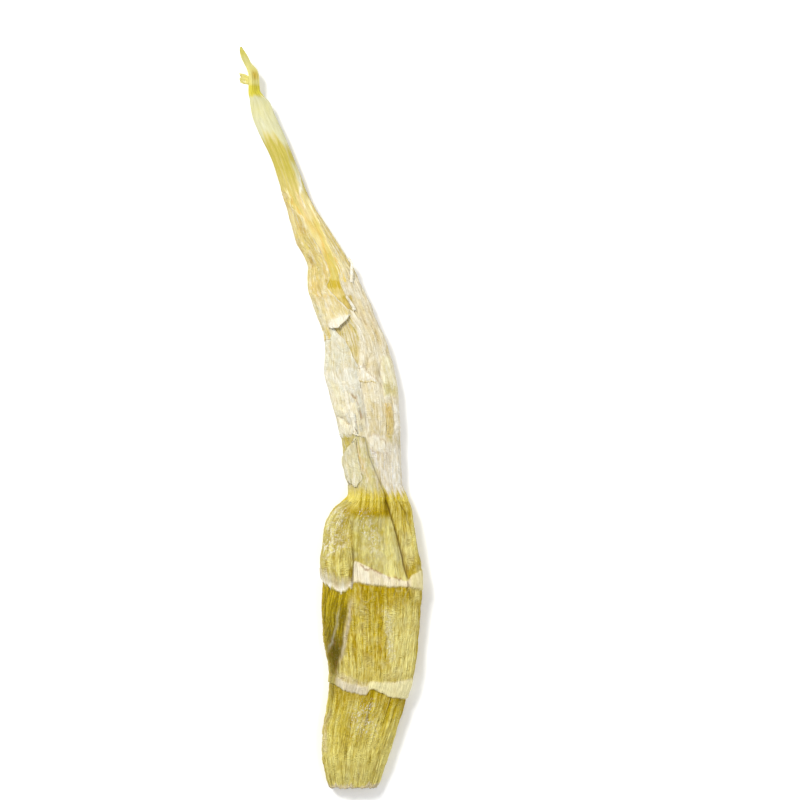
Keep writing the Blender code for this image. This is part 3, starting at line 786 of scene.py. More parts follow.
# Each row: distance, first and last turn covered, and the inset at the first and at the last turn.
SHEETS = {
    "waist_sheath": [
        (109, 61, 285, 0.75, 0.75), (110.5, 62, 286, 0.72, 0.72), (114, 63, 288, 0.85, 0.85),
        (121, 70, 290, 0.95, 0.95), (129, 80, 290, 0.85, 0.95), (137, 88, 280, 0.75, 0.95),
    ],
    "right_sheath": [
        (109, -62, 66, 0.72, 0.75), (110.5, -62, 67, 0.55, 0.68), (114, -62, 71, 0.25, 0.6),
        (121, -62, 79, 0.2, 0.6), (129, -62, 92, 0.2, 0.55), (140, -62, 75, 0.2, 0.75),
        (150, -60, 62, 0.2, 0.72), (167, -60, 60, 0.2, 0.72), (176, -62, 60, 0.2, 0.72),
        (183, -66, 70, 0, 0.7), (190, -70, 74, 0, 0.4), (193, -70, 75, 0, 0.35), (200, -70, 66, 0, 0.35),
        (207, -66, 58, 0, 0.3), (212, -64, 52, 0.05, 0.25), (216, -60, 43, 0.05, 0.2),
        (221, -40, 38, 0.1, 0.15), (227, -20, 14, 0.1, 0.15),
    ],
    "front_sheath": [
        (128, 56, 282, 0.35, 0.65), (141, 55, 286, 0.35, 0.65), (154, 54, 286, 0.35, 0.65),
        (167, 52, 286, 0.35, 0.65), (176, 57, 282, 0.35, 0.65), (182, 66, 272, 0.45, 0.65),
    ],
    "left_sheath": [
        (133, 112, 236, 0.4, 0), (137, 102, 240, 0.4, 0), (142, 98, 246, 0.38, 0),
        (148, 94, 248, 0.34, 0), (154, 93, 250, 0.16, 0), (159, 93, 250, 0, 0), (165, 100, 246, 0, 0),
        (170, 108, 240, 0, 0), (175, 122, 236, 0.05, 0),
    ],
    "upper_sheath": [
        (175.5, 88, 252, -0.1, 0.3), (178, 84, 256, 0, 0.2), (181, 78, 260, 0.1, 0.1),
        (186, 94, 262, 0.2, 0.1), (189, 104, 262, 0.2, 0.1), (191, 108, 264, 0.25, 0.1),
        (194, 97, 262, 0.25, 0.1), (200, 93, 260, 0.25, 0.1), (207, 92, 258, 0.2, 0.1),
        (213, 97, 252, 0.2, 0.1), (217, 100, 246, 0.2, 0.1), (219, 110, 240, 0.2, 0.1),
        (222, 130, 230, 0.15, 0.1), (226, 130, 215, 0.15, 0.1), (229, 160, 200, 0.2, 0.1),
    ],
    "torn_flap": [
        (115.8, 127, 164, 0.35, 0.25), (116.8, 121, 177, 0.35, 0.25), (118.6, 115, 180, 0.35, 0.2),
        (125, 117, 182, 0.25, 0.1), (127.5, 119, 158, 0.2, 0.05), (130, 120, 138, 0.1, 0),
        (132.8, 121, 125, 0.05, 0),
    ],
    "torn_tongue": [
        (154.4, 64, 95, -0.05, 0), (156.5, 71, 94, -0.15, 0), (158.5, 80, 92, -0.15, 0),
        (161, 86, 90, -0.05, 0),
    ],
    "side_sliver": [
        (192.6, 42, 50, -0.5, -0.1), (197, 32, 39, -0.8, -0.3), (202, 6, 12, -1.2, -0.8),
    ],
    "window_sliver": [
        (181.8, 64, 70, -0.2, 0.1), (184.5, 67, 72, -0.5, 0.1), (187.5, 71, 74, -0.6, 0),
    ],
}
INSET_CHANGE = (0.45, 0.8)  # the shares of the width, from the right, between which the inset changes
EDGE_WIDTH = 1.8  # of the band that sinks along a sheet's edges
FLOOR_GAP = 0.02  # least height of a sheet over the floor
CUP_SPAN = 52.0  # length of the upper sheath, on which its turned edge is measured

# How far each sheet's edges sink on to the layer below: low end, high end, right side, left side.
EDGE_SINK = {
    "waist_sheath": (0.05, 0.0, 0.0, 0.0),
    "right_sheath": (0.1, 0.2, 0.0, 0.15),
    "front_sheath": (0.60, 0.1, 0.25, 0.0),
    "left_sheath": (0.75, 0.15, 0.05, 0.1),
    "upper_sheath": (0.0, 0.35, 0.15, 0.1),
    "torn_flap": (0.0, 0.6, 0.1, 0.3),
    "torn_tongue": (0.2, 0.4, 0.1, 0.2),
    "side_sliver": (0.4, 0.0, 0.0, 0.0),
    "window_sliver": (0.4, 0.0, 0.0, 0.0),
}

# How torn the low ends of some sheaths are, as a share of how torn their other edges are.
LOW_TEARS = {"waist_sheath": 0.15, "right_sheath": 0.25, "upper_sheath": 0.25}

# How the low ends of some sheaths run: the share of the way from left to right, and the end's own offset.
LOW_ENDS = {
    "front_sheath": [(0, 6), (0.74, 6.5), (0.82, 1.2), (0.88, 0), (0.95, -0.4), (1, 0.6)],
    "left_sheath": [(0, 0), (0.6, 0), (0.8, 0.6), (1, 1.4)],
    "upper_sheath": [(0, -5.5), (0.6, -5), (0.645, -0.2), (0.74, -0.3), (0.83, 0.4), (0.94, 2.3), (1, 4.4)],
}


class Sheet(Places):
    """The places of a sheet. u runs from 0 on its left side to 1 on its right, and v from its low end up."""

    def __init__(self, distance, turn, u, v, seed):
        super().__init__(distance, turn)
        self.u, self.v = u, v
        self.fibres = self.ribs(seed + 20, 110, 34, 1.2)
        self.threads = self.ribs(seed + 21, 230, 60, 1.6)
        self.creases = self.ribs(seed + 25, 30, 60, 1.5)

    def near_left_side(self, strips, width=0.9):
        """From 1 on the sheet's left side to 0 at a width in strips, of which so many make up the sheet."""
        return 1 - ease(0.0, width, self.u * strips)

    def near_right_side(self, strips, width=0.9):
        """The same along the sheet's right side."""
        return 1 - ease(0.0, width, (1 - self.u) * strips)


def sheet_places(name, rows, columns, seed, tear):
    """The distances, turns and insets of a sheet, its ends and sides torn and sunk at the edges."""
    table = SHEETS[name]
    start, length = table[0][0], table[-1][0] - table[0][0]
    v, u = np.meshgrid(np.linspace(0, 1, rows), np.linspace(0, 1, columns), indexing="ij")

    def edge_noise(number, across_cells, along_cells, across, along):
        return noise(seed + number, across_cells, along_cells, across * 0.9, along * 0.9)

    cells = max(int(columns / 9), 6)
    tears = []
    for shift in (0, 5):
        coarse = edge_noise(shift, cells, 3, u, 0 * u) + 0.6 * edge_noise(shift + 1, cells * 2, 3, u, 0 * u)
        tears.append(tear * (coarse + 0.6 * edge_noise(shift + 2, cells * 4, 3, u, 0 * u)))
    tears[0] = tears[0] * LOW_TEARS.get(name, 1.0)
    if name in LOW_ENDS:
        tears[0] = tears[0] + smooth(LOW_ENDS[name], u)[0]
    near = np.exp(-v * length / 7.0), np.exp(-(1 - v) * length / 5.0)
    distance = start + length * v + tears[0] * near[0] + tears[1] * near[1]
    first, last, inset_first, inset_last = smooth(table, distance)
    side = 1.3 * edge_noise(10, 5, 12, 0 * v, v) + 0.7 * edge_noise(11, 5, 45, 0 * v, v)
    span = np.clip((last - first) / 60, 0.1, 1)
    first = first + 1.6 * tear * side * span
    last = last + 1.2 * tear * edge_noise(12, 5, 20, 0 * v, v) * span
    share = share_of(last) + (share_of(first) - share_of(last)) * u
    inset = inset_first + (inset_last - inset_first) * ease(*INSET_CHANGE, 1 - u)
    width = (share_of(last) - share_of(first)) * GIRTH
    looseness = 0.45 + 0.55 * ease(-0.7, 0.1, edge_noise(13, 12, 12, u, v))
    for sink, away in zip(EDGE_SINK[name], (v * length, (1 - v) * length, (1 - u) * width, u * width)):
        inset = inset + sink * (1 - ease(0.0, EDGE_WIDTH, away)) * (looseness if sink > 0 else 1)
    return distance, turn_of(share), inset, u, v


def make_sheet(name, slot, rows, columns, seed, tint_of, tear, crumpled):
    """A sheet of dried sheath: torn, crumpled, fibrous, and following the folds of the body under it."""
    distance, turn, inset, u, v = sheet_places(name, rows, columns, seed, tear)
    at = Sheet(distance, turn, u, v, seed)
    patchy = at.patchy(seed + 22)
    height = (
        at.body_folds()
        + crumpled * (0.24 * at.fibres + 0.10 * at.threads - 0.2) * patchy
        + crumpled * 0.22 * (at.creases - 0.5) * patchy
        + 0.10 * at.noise(seed + 23, 70, 110)
        + 0.06 * at.noise(seed + 24, 80, 300)
    )
    if name in EXTRA_RELIEF:
        height = height + EXTRA_RELIEF[name](at)
    height = height * (0.15 + 0.85 * flat_share(turn))
    points = raised(section_points(distance, turn, inset), height)
    points[..., 2] = np.maximum(points[..., 2], FLOOR_GAP)
    tint, shade = tint_of(at)
    lie = np.stack([GIRTH * at.share, distance], -1) * MM
    obj = bent_grid(name + "_paper", points, lie, tint, shade=shade)
    thickened(obj, bpy.context.scene.shoot_relief.sheath_thickness / MM)
    finished(obj, name, slot)


def low_edge_ribs(at):
    """The upright ribs that the waist's low edge shares with the rim below it."""
    return 0.5 * at.before(110, 115) * (upright_ribs(at) - 0.5)


def cup_lift(at):
    """The upper sheath's low edge, turned outwards where it is white."""
    lifted = ease(0.62, 0.72, at.u) * (1 - ease(0.96, 1.0, at.u))
    return 1.3 * lifted * np.exp(-((at.v * CUP_SPAN / 3.2) ** 1.5))


EXTRA_RELIEF = {"waist_sheath": low_edge_ribs, "right_sheath": low_edge_ribs, "upper_sheath": cup_lift}


def papery(at, seed, base, *layers, worn=1.0):
    """A sheath's colours: a base with pale bands, its own patches, and darker threads and stains."""
    bands, mottle = at.noise(seed + 30, 50, 16), at.noise(seed + 31, 36, 90)
    flecks = at.noise(seed + 33, 110, 320)
    thread_share = 0.6 * np.clip(1 - 1.5 * at.threads, 0, 1) + 0.6 * np.clip(1 - 1.6 * at.fibres, 0, 1)
    stained = at.specks(seed + 32, 50, 50, -0.2, 0.6)
    streaked = at.specks(seed + 34, 120, 24, 0.1, 0.8)
    return tinted(
        at.distance.shape,
        base,
        ("white", 0.22 + 0.40 * bands),
        *layers,
        ("fibre", worn * 0.60 * thread_share * (0.35 + 0.85 * stained)),
        ("fibre", worn * 0.50 * (1 - at.creases) ** 3),
        ("tan", worn * 0.32 * streaked * (0.3 + 0.7 * stained)),
        ("white", 0.35 * ease(0.7, 1.0, at.fibres) * (0.5 + mottle)),
        ("fibre", worn * 0.28 * ease(0.0, 0.9, mottle)),
        ("tan", 0.22 * ease(0.1, 0.8, flecks)),
        ("white", 0.30 * ease(0.2, 0.9, -flecks)),
    )


def waist_tint(at):
    near_rim = ease(115.0, 110.4, at.distance + 1.2 * joint_streaks(at))
    golden = at.area(1.0, [(3, 134), (8, 134), (8.4, 131.4), (4, 124.4), (3, 124)])
    low_gold = at.area(2.0, [(5, 122), (12, 122), (14, 112), (5, 112)])
    tint = papery(
        at, 600, "waist",
        ("waist", 0.6),
        ("deep", 0.65 * golden),
        ("strap_gold", 0.5 * golden),
        ("strap_gold", 0.25 * low_gold),
        ("lilac", 0.35 * at.area(1.5, [(13.5, 132), (17, 124), (20, 116), (15, 121)])),
        ("fibre", 0.5 * at.specks(603, 60, 110, 0.0, 0.6) * low_gold),
        # Painted shadow along the right edge of the torn flap.
        ("amber_stain_and_shade", 0.75 * at.line(0.6, [(9.4, 131), (10.6, 125), (11.6, 119.6)], 0.1)),
        ("amber_stain_and_shade", 0.45 * at.line(0.5, [(11.6, 126), (12.6, 121), (14.8, 116.4)], 0.2)),
    )
    tint = tinted(at.distance.shape, tint, *rim_layers(at, near_rim))
    return tint, 0.55 * at.crease_shade(0.25, WAIST_FOLD)


def right_tint(at):
    golden_end = ease(114.0, 110.0, at.distance + 1.4 * joint_streaks(at))
    honeyed = at.past(188, 206)
    windows = at.area(0.6, [(5.2, 188), (7.8, 187.6), (9.4, 182.6), (7.6, 181.8)])
    lined = at.ribs(626, 260, 6, 0.4)
    low_part = at.area(1.0, [(12, 131.5), (30, 131.5), (30, 112), (18, 112)])
    low_flap = at.area(0.5, [(22, 134.6), (24.6, 134.2), (27.6, 131.6), (27.2, 129.4), (23.6, 130.4)])
    dot = np.exp(-(((at.x - 22.2) ** 2 + (at.distance - 134.9) ** 2) / 0.35**2))
    torn = at.specks(627, 150, 160, 0.1, 0.5) * at.area(1.0, [(7.6, 182), (11, 181), (14.4, 176), (12, 175)])
    seam = at.line(0.3, [(19.2, 164), (19.2, 156), (20.6, 148.6)], 0.1)
    seam = np.maximum(seam, at.line(0.3, [(18.6, 168), (17.2, 176), (13, 186)], 0.1))
    crinkle_shade, glints = crinkle_shade_and_glints(at)
    tint = papery(
        at, 620, "mauve",
        ("honey", honeyed * (0.95 + 0.3 * at.noise(625, 60, 14))),
        ("yellow", 0.45 * honeyed * at.specks(629, 80, 24, 0.0, 0.5)),
        ("amber_stain_and_shade", 0.40 * honeyed * crinkle_shade),
        ("ridge_cream_and_glint", 0.45 * honeyed * glints),
        ("amber_stain_and_shade", 0.4 * honeyed * at.specks(628, 44, 60, 0.2, 0.8)),
        ("tan", 0.45 * at.area(2.0, [(7, 186), (15, 186), (20, 170), (14, 166)])),
        ("yellow", 0.85 * at.area(0.9, [(19.4, 164), (27, 164), (27, 149), (20, 149.4)])),
        ("strap_gold", 0.55 * at.area(0.9, [(20.8, 154), (25, 154.4), (25.2, 150), (20.8, 149.6)])),
        ("mauve", 0.8 * at.area(0.6, [(19.4, 149), (26, 149.2), (25, 146.6), (20, 146.2)])),
        ("tan", 0.95 * at.area(0.3, [(19.6, 146.4), (24, 146.8), (24.3, 134.2), (21.2, 133.6)])),
        ("amber_stain_and_shade", 0.4 * at.area(0.4, [(19.6, 146.2), (23.8, 146.6), (23.8, 141.4), (20.2, 141.2)])),
        ("white", 0.95 * at.area(0.5, [(23.8, 148.6), (26.4, 148), (27.4, 134.4), (24.2, 134.2)])),
        ("strap_gold", 0.75 * low_flap),
        ("white", 0.95 * at.area(0.5, [(23.4, 134.8), (26.2, 134.8), (26, 131.8), (24, 131.4)])),
        ("lilac", 0.90 * low_part),
        ("fibre", 0.55 * low_part * (1 - lined)),
        # Painted shadow along the low border of the pink lobe that lies over this sheath.
        ("blush", 0.45 * at.line(0.28, [(14.5, 130.1), (17, 127.6), (22.4, 127.2)], 0.1)),
        ("white", 0.80 * at.area(0.8, [(23.2, 130), (27.4, 129), (29, 114), (24.8, 114)])),
        ("window", 0.95 * windows),
        ("ridge_cream_and_glint", 0.8 * at.near_left_side(30) * at.past(186, 190)),
        ("blush", 0.30 * seam + 0.5 * torn),
        ("dusk_shade_and_stain", 0.9 * dot),
        worn=0.85 - 0.35 * honeyed,
    )
    tint = tinted(at.distance.shape, tint, *rim_layers(at, golden_end))
    return tint, np.maximum(0.55 * at.crease_shade(0.25, WAIST_FOLD), 0.3 * at.crease_shade(0.3, RIGHT_SEAM))


def front_tint(at):
    lines = at.ribs(641, 200, 6, 0.3)
    panel = at.area(0.7, [(13.2, 146.6), (21, 147), (21.4, 134.6), (14.6, 134.4)])
    lobe = at.area(0.5, [(14, 134.4), (21.8, 134.8), (21.8, 126), (15, 126)])
    lobe_line = at.line(0.3, [(13.8, 134.2), (17, 134.6), (20.2, 132.6), (21.6, 130.2)], 0.1)
    # Partly the sheath's own tan lines, partly painted shadow under the upper sheath's turned edge.
    tan_and_cup_shadow = at.area(0.7, [(0, 178), (7.4, 181), (9.8, 174.4), (10.8, 168.7), (10.4, 161.5), (7.4, 161.5),
                              (4.8, 168.6), (2.6, 171.8), (0, 173.4)])
    tint = papery(
        at, 640, "paper",
        ("mauve", 0.85 * at.area(2.0, [(8, 172), (19, 172), (19.4, 150), (12, 148)])),
        # Painted shadow along the torn tongue's right edge: a fibre-coloured patch and a brown line.
        ("fibre", 0.40 * at.area(1.0, [(11.4, 162.5), (18.4, 162.5), (18.4, 156), (15.4, 158.4)])),
        ("blush", 0.45 * at.line(0.35, [(11.9, 161.4), (14, 158.7), (16.4, 156.6), (18.6, 154.4)], 0.1)),
        ("tan", 0.9 * tan_and_cup_shadow),
        ("strap_gold", 0.75 * tan_and_cup_shadow * lines),
        ("blush", 0.25 * tan_and_cup_shadow * ease(0.6, 0.95, 1 - lines)),
        ("fibre", 0.45 * panel),
        ("fibre", 0.30 * panel * (1 - lines)),
        ("blush_paper", 0.95 * lobe),
        ("blush", 0.40 * lobe_line),
        # Painted shadow, the same grey shade as on the left sheath beside it.
        ("grey", 0.35 * at.area(1.0, [(9, 150), (12.6, 150), (13.6, 136), (10, 135)])),
        ("white", 0.7 * at.line(0.45, [(12, 150), (13.2, 142), (14, 135)], 0.1)),
        worn=0.7,
    )
    return tint, 0.35 * at.crease_shade(0.3, FRONT_FOLD)


def left_tint(at):
    shadow = at.area(1.2, [(8.2, 145), (11.6, 145), (13, 134), (9.4, 134.6)])
    stain = at.area(1.5, [(7.4, 150), (11.6, 150), (12.6, 136), (9, 136)]) * at.specks(661, 90, 200, 0.1, 0.6)
    wrinkled = ease(0.4, 0.8, 1 - at.ribs(662, 150, 30, 1.5)) * shadow
    rim = at.near_right_side(30, 0.8)
    tint = papery(
        at, 660, "left_paper",
        ("lime", 0.35 * at.area(2.5, [(-4, 178), (6, 178), (8, 162), (-4, 158)])),
        ("yellow", 0.65 * at.area(2.0, [(-4, 156), (3, 154), (6, 134), (0, 134)])),
        ("grey", 0.35 * at.area(1.5, [(4, 152), (9.6, 150), (11, 142), (6, 142)])),
        # Painted shadow: a grey patch with dark wrinkles in it, where the sheath lies in shade.
        ("grey", 0.85 * shadow),
        ("dusk_shade_and_stain", 0.80 * wrinkled),
        ("blush", 0.75 * stain),
        # Painted shade along the diagonal fold.
        ("blush", 0.55 * at.line(0.4, [(2, 141.2), (4.4, 140.6), (7.4, 138.4)])),
        ("white", 0.7 * rim),
        worn=0.85,
    )
    return tint, np.zeros_like(at.u)


def ridge_lines(at):
    """The ridges of the upper part, and thin lines of painted shadow along their right sides."""
    tall = [points for height, _, _, points in RIDGES if height > 0.2]
    ridges = np.clip(sum(at.line(0.30, points, 0.15) for points in tall), 0, 1)
    shaded = sum(at.line(0.26, [(x + 0.7, distance) for x, distance in points]) for points in tall)
    return ridges * at.specks(685, 160, 160, -0.9, 0.1), np.clip(shaded - ridges, 0, 1)


def crinkle_shade_and_glints(at):
    """Painted shade along short fine crinkles of the upper part, and painted glints beside them."""
    lines = at.net(686, 90, 70, 0.12) * at.specks(687, 60, 60, -0.1, 0.5)
    glints = at.net(688, 110, 80, 0.14) * at.specks(689, 60, 60, 0.0, 0.5)
    return lines, glints


# The height of the upper sheath's turned edge at shares of the sheath's width.
CUP_TOP = [(0.64, 0.3), (0.7, 2.4), (0.83, 3.4), (0.9, 2.8), (0.97, 1.3), (1, 0.3)]


def upper_tint(at):
    streaks = at.noise(681, 70, 14)
    above_cup = ease(-0.4, 1.5, at.v * CUP_SPAN - bent_line(CUP_TOP, at.u))
    cup = (1 - above_cup) * ease(0.635, 0.655, at.u)
    rim = at.near_right_side(24) * at.past(181.5, 183)
    pale_rim = rim * at.before(189, 191)
    ridges, shaded = ridge_lines(at)
    spot = at.line(0.8, [(-8.2, 202.6), (-7.4, 197.2)], 0.25)
    windows = at.area(0.5, [(-2.4, 193.4), (3.6, 193), (4.6, 188.8), (-1, 189.4)])
    crinkle_shade, glints = crinkle_shade_and_glints(at)
    tint = papery(
        at, 680, "honey",
        ("honey", 0.75),
        ("strap_gold", 0.30 * np.clip(streaks + 0.45, 0, 1)),
        ("amber_stain_and_shade", 0.40 * at.specks(684, 44, 60, 0.1, 0.8)),
        ("paper", 0.4 * at.area(3.0, [(-12, 188), (4, 187), (6, 178), (-8, 176)])),
        ("lime", 0.5 * at.area(2.0, [(-9, 186), (-4, 186), (0, 176), (-5, 174)])),
        ("amber_stain_and_shade", 0.40 * crinkle_shade),
        ("ridge_cream_and_glint", 0.40 * glints),
        ("amber_stain_and_shade", 0.9 * shaded),
        ("amber_stain_and_shade", 0.7 * at.line(0.35, [(-6.6, 187.4), (-3, 187), (1, 187.6)], 0.2)),
        ("amber_stain_and_shade", 0.6 * at.line(0.35, [(-6.6, 187.2), (-5.4, 184.6), (-4.6, 183)], 0.2)),
        ("amber_stain_and_shade", 0.8 * spot),
        ("dusk_shade_and_stain", 0.35 * spot),
        ("window", 0.9 * windows),
        ("amber_stain_and_shade", 0.30 * at.area(1.2, [(-8.4, 192.6), (-3, 193), (-3.6, 188), (-8, 188.4)])),
        ("ridge_cream_and_glint", 0.95 * ridges),
        ("ridge_cream_and_glint", 0.85 * rim),
        ("white", 0.90 * pale_rim),
        worn=0.55,
    )
    return tinted(at.distance.shape, tint, ("cup", 0.95 * cup)), np.zeros_like(at.u)


def remnant_tint(at, base, *layers):
    return papery(at, 700, base, (base, 0.6), *layers, worn=0.6), np.zeros_like(at.u)


def flap_tint(at):
    return remnant_tint(at, "flap")


def tongue_tint(at):
    """White, and tan along the low end."""
    return remnant_tint(at, "white", ("tan", 0.9 * (1 - ease(0.02, 0.16, at.v))))


def sliver_tint(at):
    return remnant_tint(at, "white")


# ---------------------------------------------------------------- the strap

STRAP_START, STRAP_END = 166.0, 282.0
STRAP_GIRTH = GIRTH * 0.6
STRAP_FRONT_COLUMNS, STRAP_BACK_COLUMNS = 111, 50
STRAP_INSET = [(166, 2.6), (180, 1.7), (190, 0.8), (205, 0.6), (215, 0.45), (227, 0.3), (235, 0), (282, 0)]


class Strap(Places):
    """The places of the strap, with its fibres, creases and pleats, and how much of its neck is there."""

    def __init__(self, distance, turn):
        super().__init__(distance, turn)
        self.fibres, self.creases = self.ribs(203, 110, 30, 1.2), self.ribs(206, 26, 46, 1.5)
        self.pleats = self.ribs(204, 46, 40, 0.6)
        drawn_in = ease(262.6, 264.4, distance + 0.5 * self.noise(208, 60, 60))
        self.neck = drawn_in * (1 - self.past(271.5, 275))


def strap_relief(at):
    """The strap's relief, in millimetres, slighter where the strap is thin."""
    left, right = smooth(OUTLINE, at.distance)
    slim = np.clip((right - left) / 20, 0.12, 1)
    pressed = 1 - 0.6 * at.past(224, 240)
    patchy = at.patchy(207)
    height = (
        at.body_folds() * np.clip(slim * 1.3, 0, 1) * pressed
        + slim * pressed * (0.30 * at.noise(201, 26, 20) + 0.08 * at.noise(205, 60, 260))
        + slim * pressed * patchy * (0.26 * (at.fibres - 0.5) + 0.30 * (at.creases - 0.5))
        + 0.40 * at.neck * (at.pleats - 0.5)
    )
    return height * (0.15 + 0.85 * flat_share(at.turn))


def flattened(row):
    """A row of points brought to one height."""
    flat = row.copy()
    flat[:, 2] = row[:, 2].mean()
    return flat


def make_strap():
    """The strap, from inside the sheaths to the tip."""
    rows = np.concatenate([np.arange(STRAP_START, STRAP_END, ROW_STEP), [STRAP_END]])
    back = np.linspace(WHOLE_GIRTH, share_of(180.0), STRAP_BACK_COLUMNS)
    shares = np.concatenate([back[:-1], np.linspace(share_of(180.0), 0, STRAP_FRONT_COLUMNS)])
    turns = turn_of(shares)
    distance, turn = np.meshgrid(rows, turns, indexing="ij")
    at = Strap(distance, turn)
    height = strap_relief(at)
    height[:, 0] = height[:, -1]
    points = raised(section_points(distance, turn, smooth(STRAP_INSET, distance)[0]), height)
    points[:, 0] = points[:, -1]
    low, high = flattened(points[0]), flattened(points[-1])
    all_points = np.concatenate([[low, (points[0] + low) / 2], points, [(points[-1] + high) / 2, high]])
    tint, shade = strap_tint(at)
    tint = np.concatenate([tint[:1], tint[:1], tint, tint[-1:], tint[-1:]])
    shade = np.pad(shade, ((2, 2), (0, 0)))
    before, after = STRAP_START + np.array([-1.0, -0.5]), STRAP_END + np.array([0.3, 0.6])
    lie_v = np.concatenate([before, rows, after])
    lie = np.stack(np.meshgrid(STRAP_GIRTH * shares, lie_v, indexing="xy"), -1) * MM
    obj = bent_grid("strap_tube", all_points, lie, tint, shade=shade)
    closed_up()
    finished(obj, "strap", "strap")


def strap_tint(at):
    """The strap's colours: honey low down, gold at its middle, pale lime above and a bright yellow neck."""
    bands, streaks, mottle = at.noise(211, 34, 14), at.noise(212, 90, 26), at.noise(213, 40, 80)
    pale = ease(244.4, 249.0, at.distance + 2.0 * bands + 0.25 * (at.x + 22))
    golden = at.past(224, 238) * (1 - pale)
    pale_edge = at.line(0.6, [(-29.4, 257), (-27.6, 248), (-23, 237), (-20, 228)], 0.1)
    pale_edge = np.maximum(pale_edge, at.line(0.6, [(-15.6, 240), (-12.8, 233), (-10.4, 226)], 0.2))
    torn_line = at.line(0.4, [(-13.6, 239), (-11.8, 232), (-11.4, 226), (-9.4, 220)], 0.1)
    windows = np.maximum(at.area(0.4, [(-2.6, 193.6), (4, 193.4), (4.6, 189.8), (-1.4, 189.8)]),
                         at.area(0.4, [(2.4, 187), (7, 187.2), (8.6, 181.4), (4.4, 181.6)]))
    below_window = at.area(0.8, [(-3.4, 204), (0.2, 204), (4.2, 193.4), (-1.4, 193.2)])
    ridges, shaded = ridge_lines(at)
    crinkle_shade, glints = crinkle_shade_and_glints(at)
    # Painted shade along the bottoms of the furrows.
    furrow_shade = sum(at.line(0.35, points) for height, _, _, points in RIDGES if height < 0)
    tint = tinted(
        at.distance.shape,
        "honey",
        ("strap_gold", 0.50 * np.clip(bands + 0.25, 0, 1)),
        ("tan", (0.60 + 0.25 * at.specks(214, 90, 16, 0.0, 0.8)) * (1 - pale)),
        ("strap_gold", 0.30 * (1 - pale)),
        ("amber_stain_and_shade", 0.40 * below_window),
        ("strap_gold", 0.60 * below_window),
        ("ridge_cream_and_glint", 0.20 * np.clip(streaks + 0.1, 0, 1)),
        ("amber_stain_and_shade", 0.45 * crinkle_shade * at.before(226, 238)),
        ("ridge_cream_and_glint", 0.45 * glints * at.before(226, 238)),
        ("amber_stain_and_shade", 0.50 * at.specks(215, 44, 60, 0.1, 0.8) * at.before(222, 232)),
        ("lime", 0.92 * pale),
        ("strap_gold", 0.85 * golden * (0.85 + 0.25 * streaks)),
        ("lime", 0.8 * pale_edge),
        ("window", 0.95 * windows * (1 - 0.4 * (1 - at.fibres))),
        ("amber_stain_and_shade", 0.95 * np.maximum(shaded, furrow_shade)),
        ("ridge_cream_and_glint", 0.95 * ridges),
        ("tan", at.area(0.3, [(-2, 189.9), (4.4, 189.9), (9, 187.4), (2, 187.2)])),
        ("window", 0.5 * at.area(0.8, [(0, 189.6), (3.6, 189.8), (5.4, 188.2), (2.6, 187.8)])),
        ("white", 0.75 * torn_line),
        ("tan", 0.45 * np.clip(1 - 1.5 * at.fibres, 0, 1) * (1 - 0.6 * pale)),
        ("strap_gold", 0.30 * (1 - at.creases) ** 3 * (1 - 0.5 * pale)),
        ("strap_gold", 0.20 * ease(0.0, 0.9, mottle) * (1 - 0.6 * pale)),
        ("white", 0.15 * ease(0.0, 0.9, -mottle)),
        ("tip", 0.85 * at.neck),
        ("neck", at.neck * (0.25 * (1 - at.pleats) + 0.85 * at.before(267, 268.6))),
        ("neck_gold", 0.75 * at.area(0.7, [(-30.4, 274.4), (-28, 273.6), (-28, 270), (-29.6, 269.6)])),
        ("neck", 0.15 * at.before(259, 264) * at.past(252, 259)),
        ("tip", 0.90 * at.past(271.5, 274)),
        ("neck", 0.6 * at.past(277.5, 280)),
    )
    # Painted shade in the bottoms of the neck's pleats.
    return tint, 0.2 * at.neck * np.clip(1 - 3 * at.pleats, 0, 1)


# ---------------------------------------------------------------- the stub at the tip

# The stub's middle line at shares of its length: x, distance and height, and the stub's half width.
STUB_LINE = [(0, -31.2, 269.4, 5.5, 1.4), (0.5, -33.2, 270, 6.1, 2), (1, -34.7, 270.4, 6.9, 1.7)]
STUB_THICKNESS = 0.5


def make_stub():
    """The short torn stub beside the neck: a curled flake, frayed at its outer end."""
    v, u = np.meshgrid(np.linspace(0, 1, 26), np.linspace(-1, 1, 30), indexing="ij")
    x, distance, height, half_width = smooth(STUB_LINE, v)
    frayed = 0.25 * noise(231, 14, 3, (u + 1) * 0.45, 0 * u) * v**3
    ribs = noise(232, 18, 5, (u + 1) * 0.45, v * 0.9)
    points = np.stack([
        x - frayed,
        distance + u * half_width * (1 + 0.08 * ribs),
        height + 0.15 * u**2 * v + 0.05 * ribs,
    ], -1)
    pale = 0.6 * noise(233, 9, 5, (u + 1) * 0.45, v * 0.9)
    tint = tinted(v.shape, "tip", ("yellow", pale), ("neck", 0.45 * np.clip(-ribs, 0, 1)))
    lie = np.stack([u * 2, v * 4], -1) * MM
    obj = bent_grid("tip_stub_flake", points[:, ::-1], lie[:, ::-1], tint[:, ::-1])
    thickened(obj, STUB_THICKNESS)
    finished(obj, "tip_stub", "remnant")


# ---------------------------------------------------------------- materials


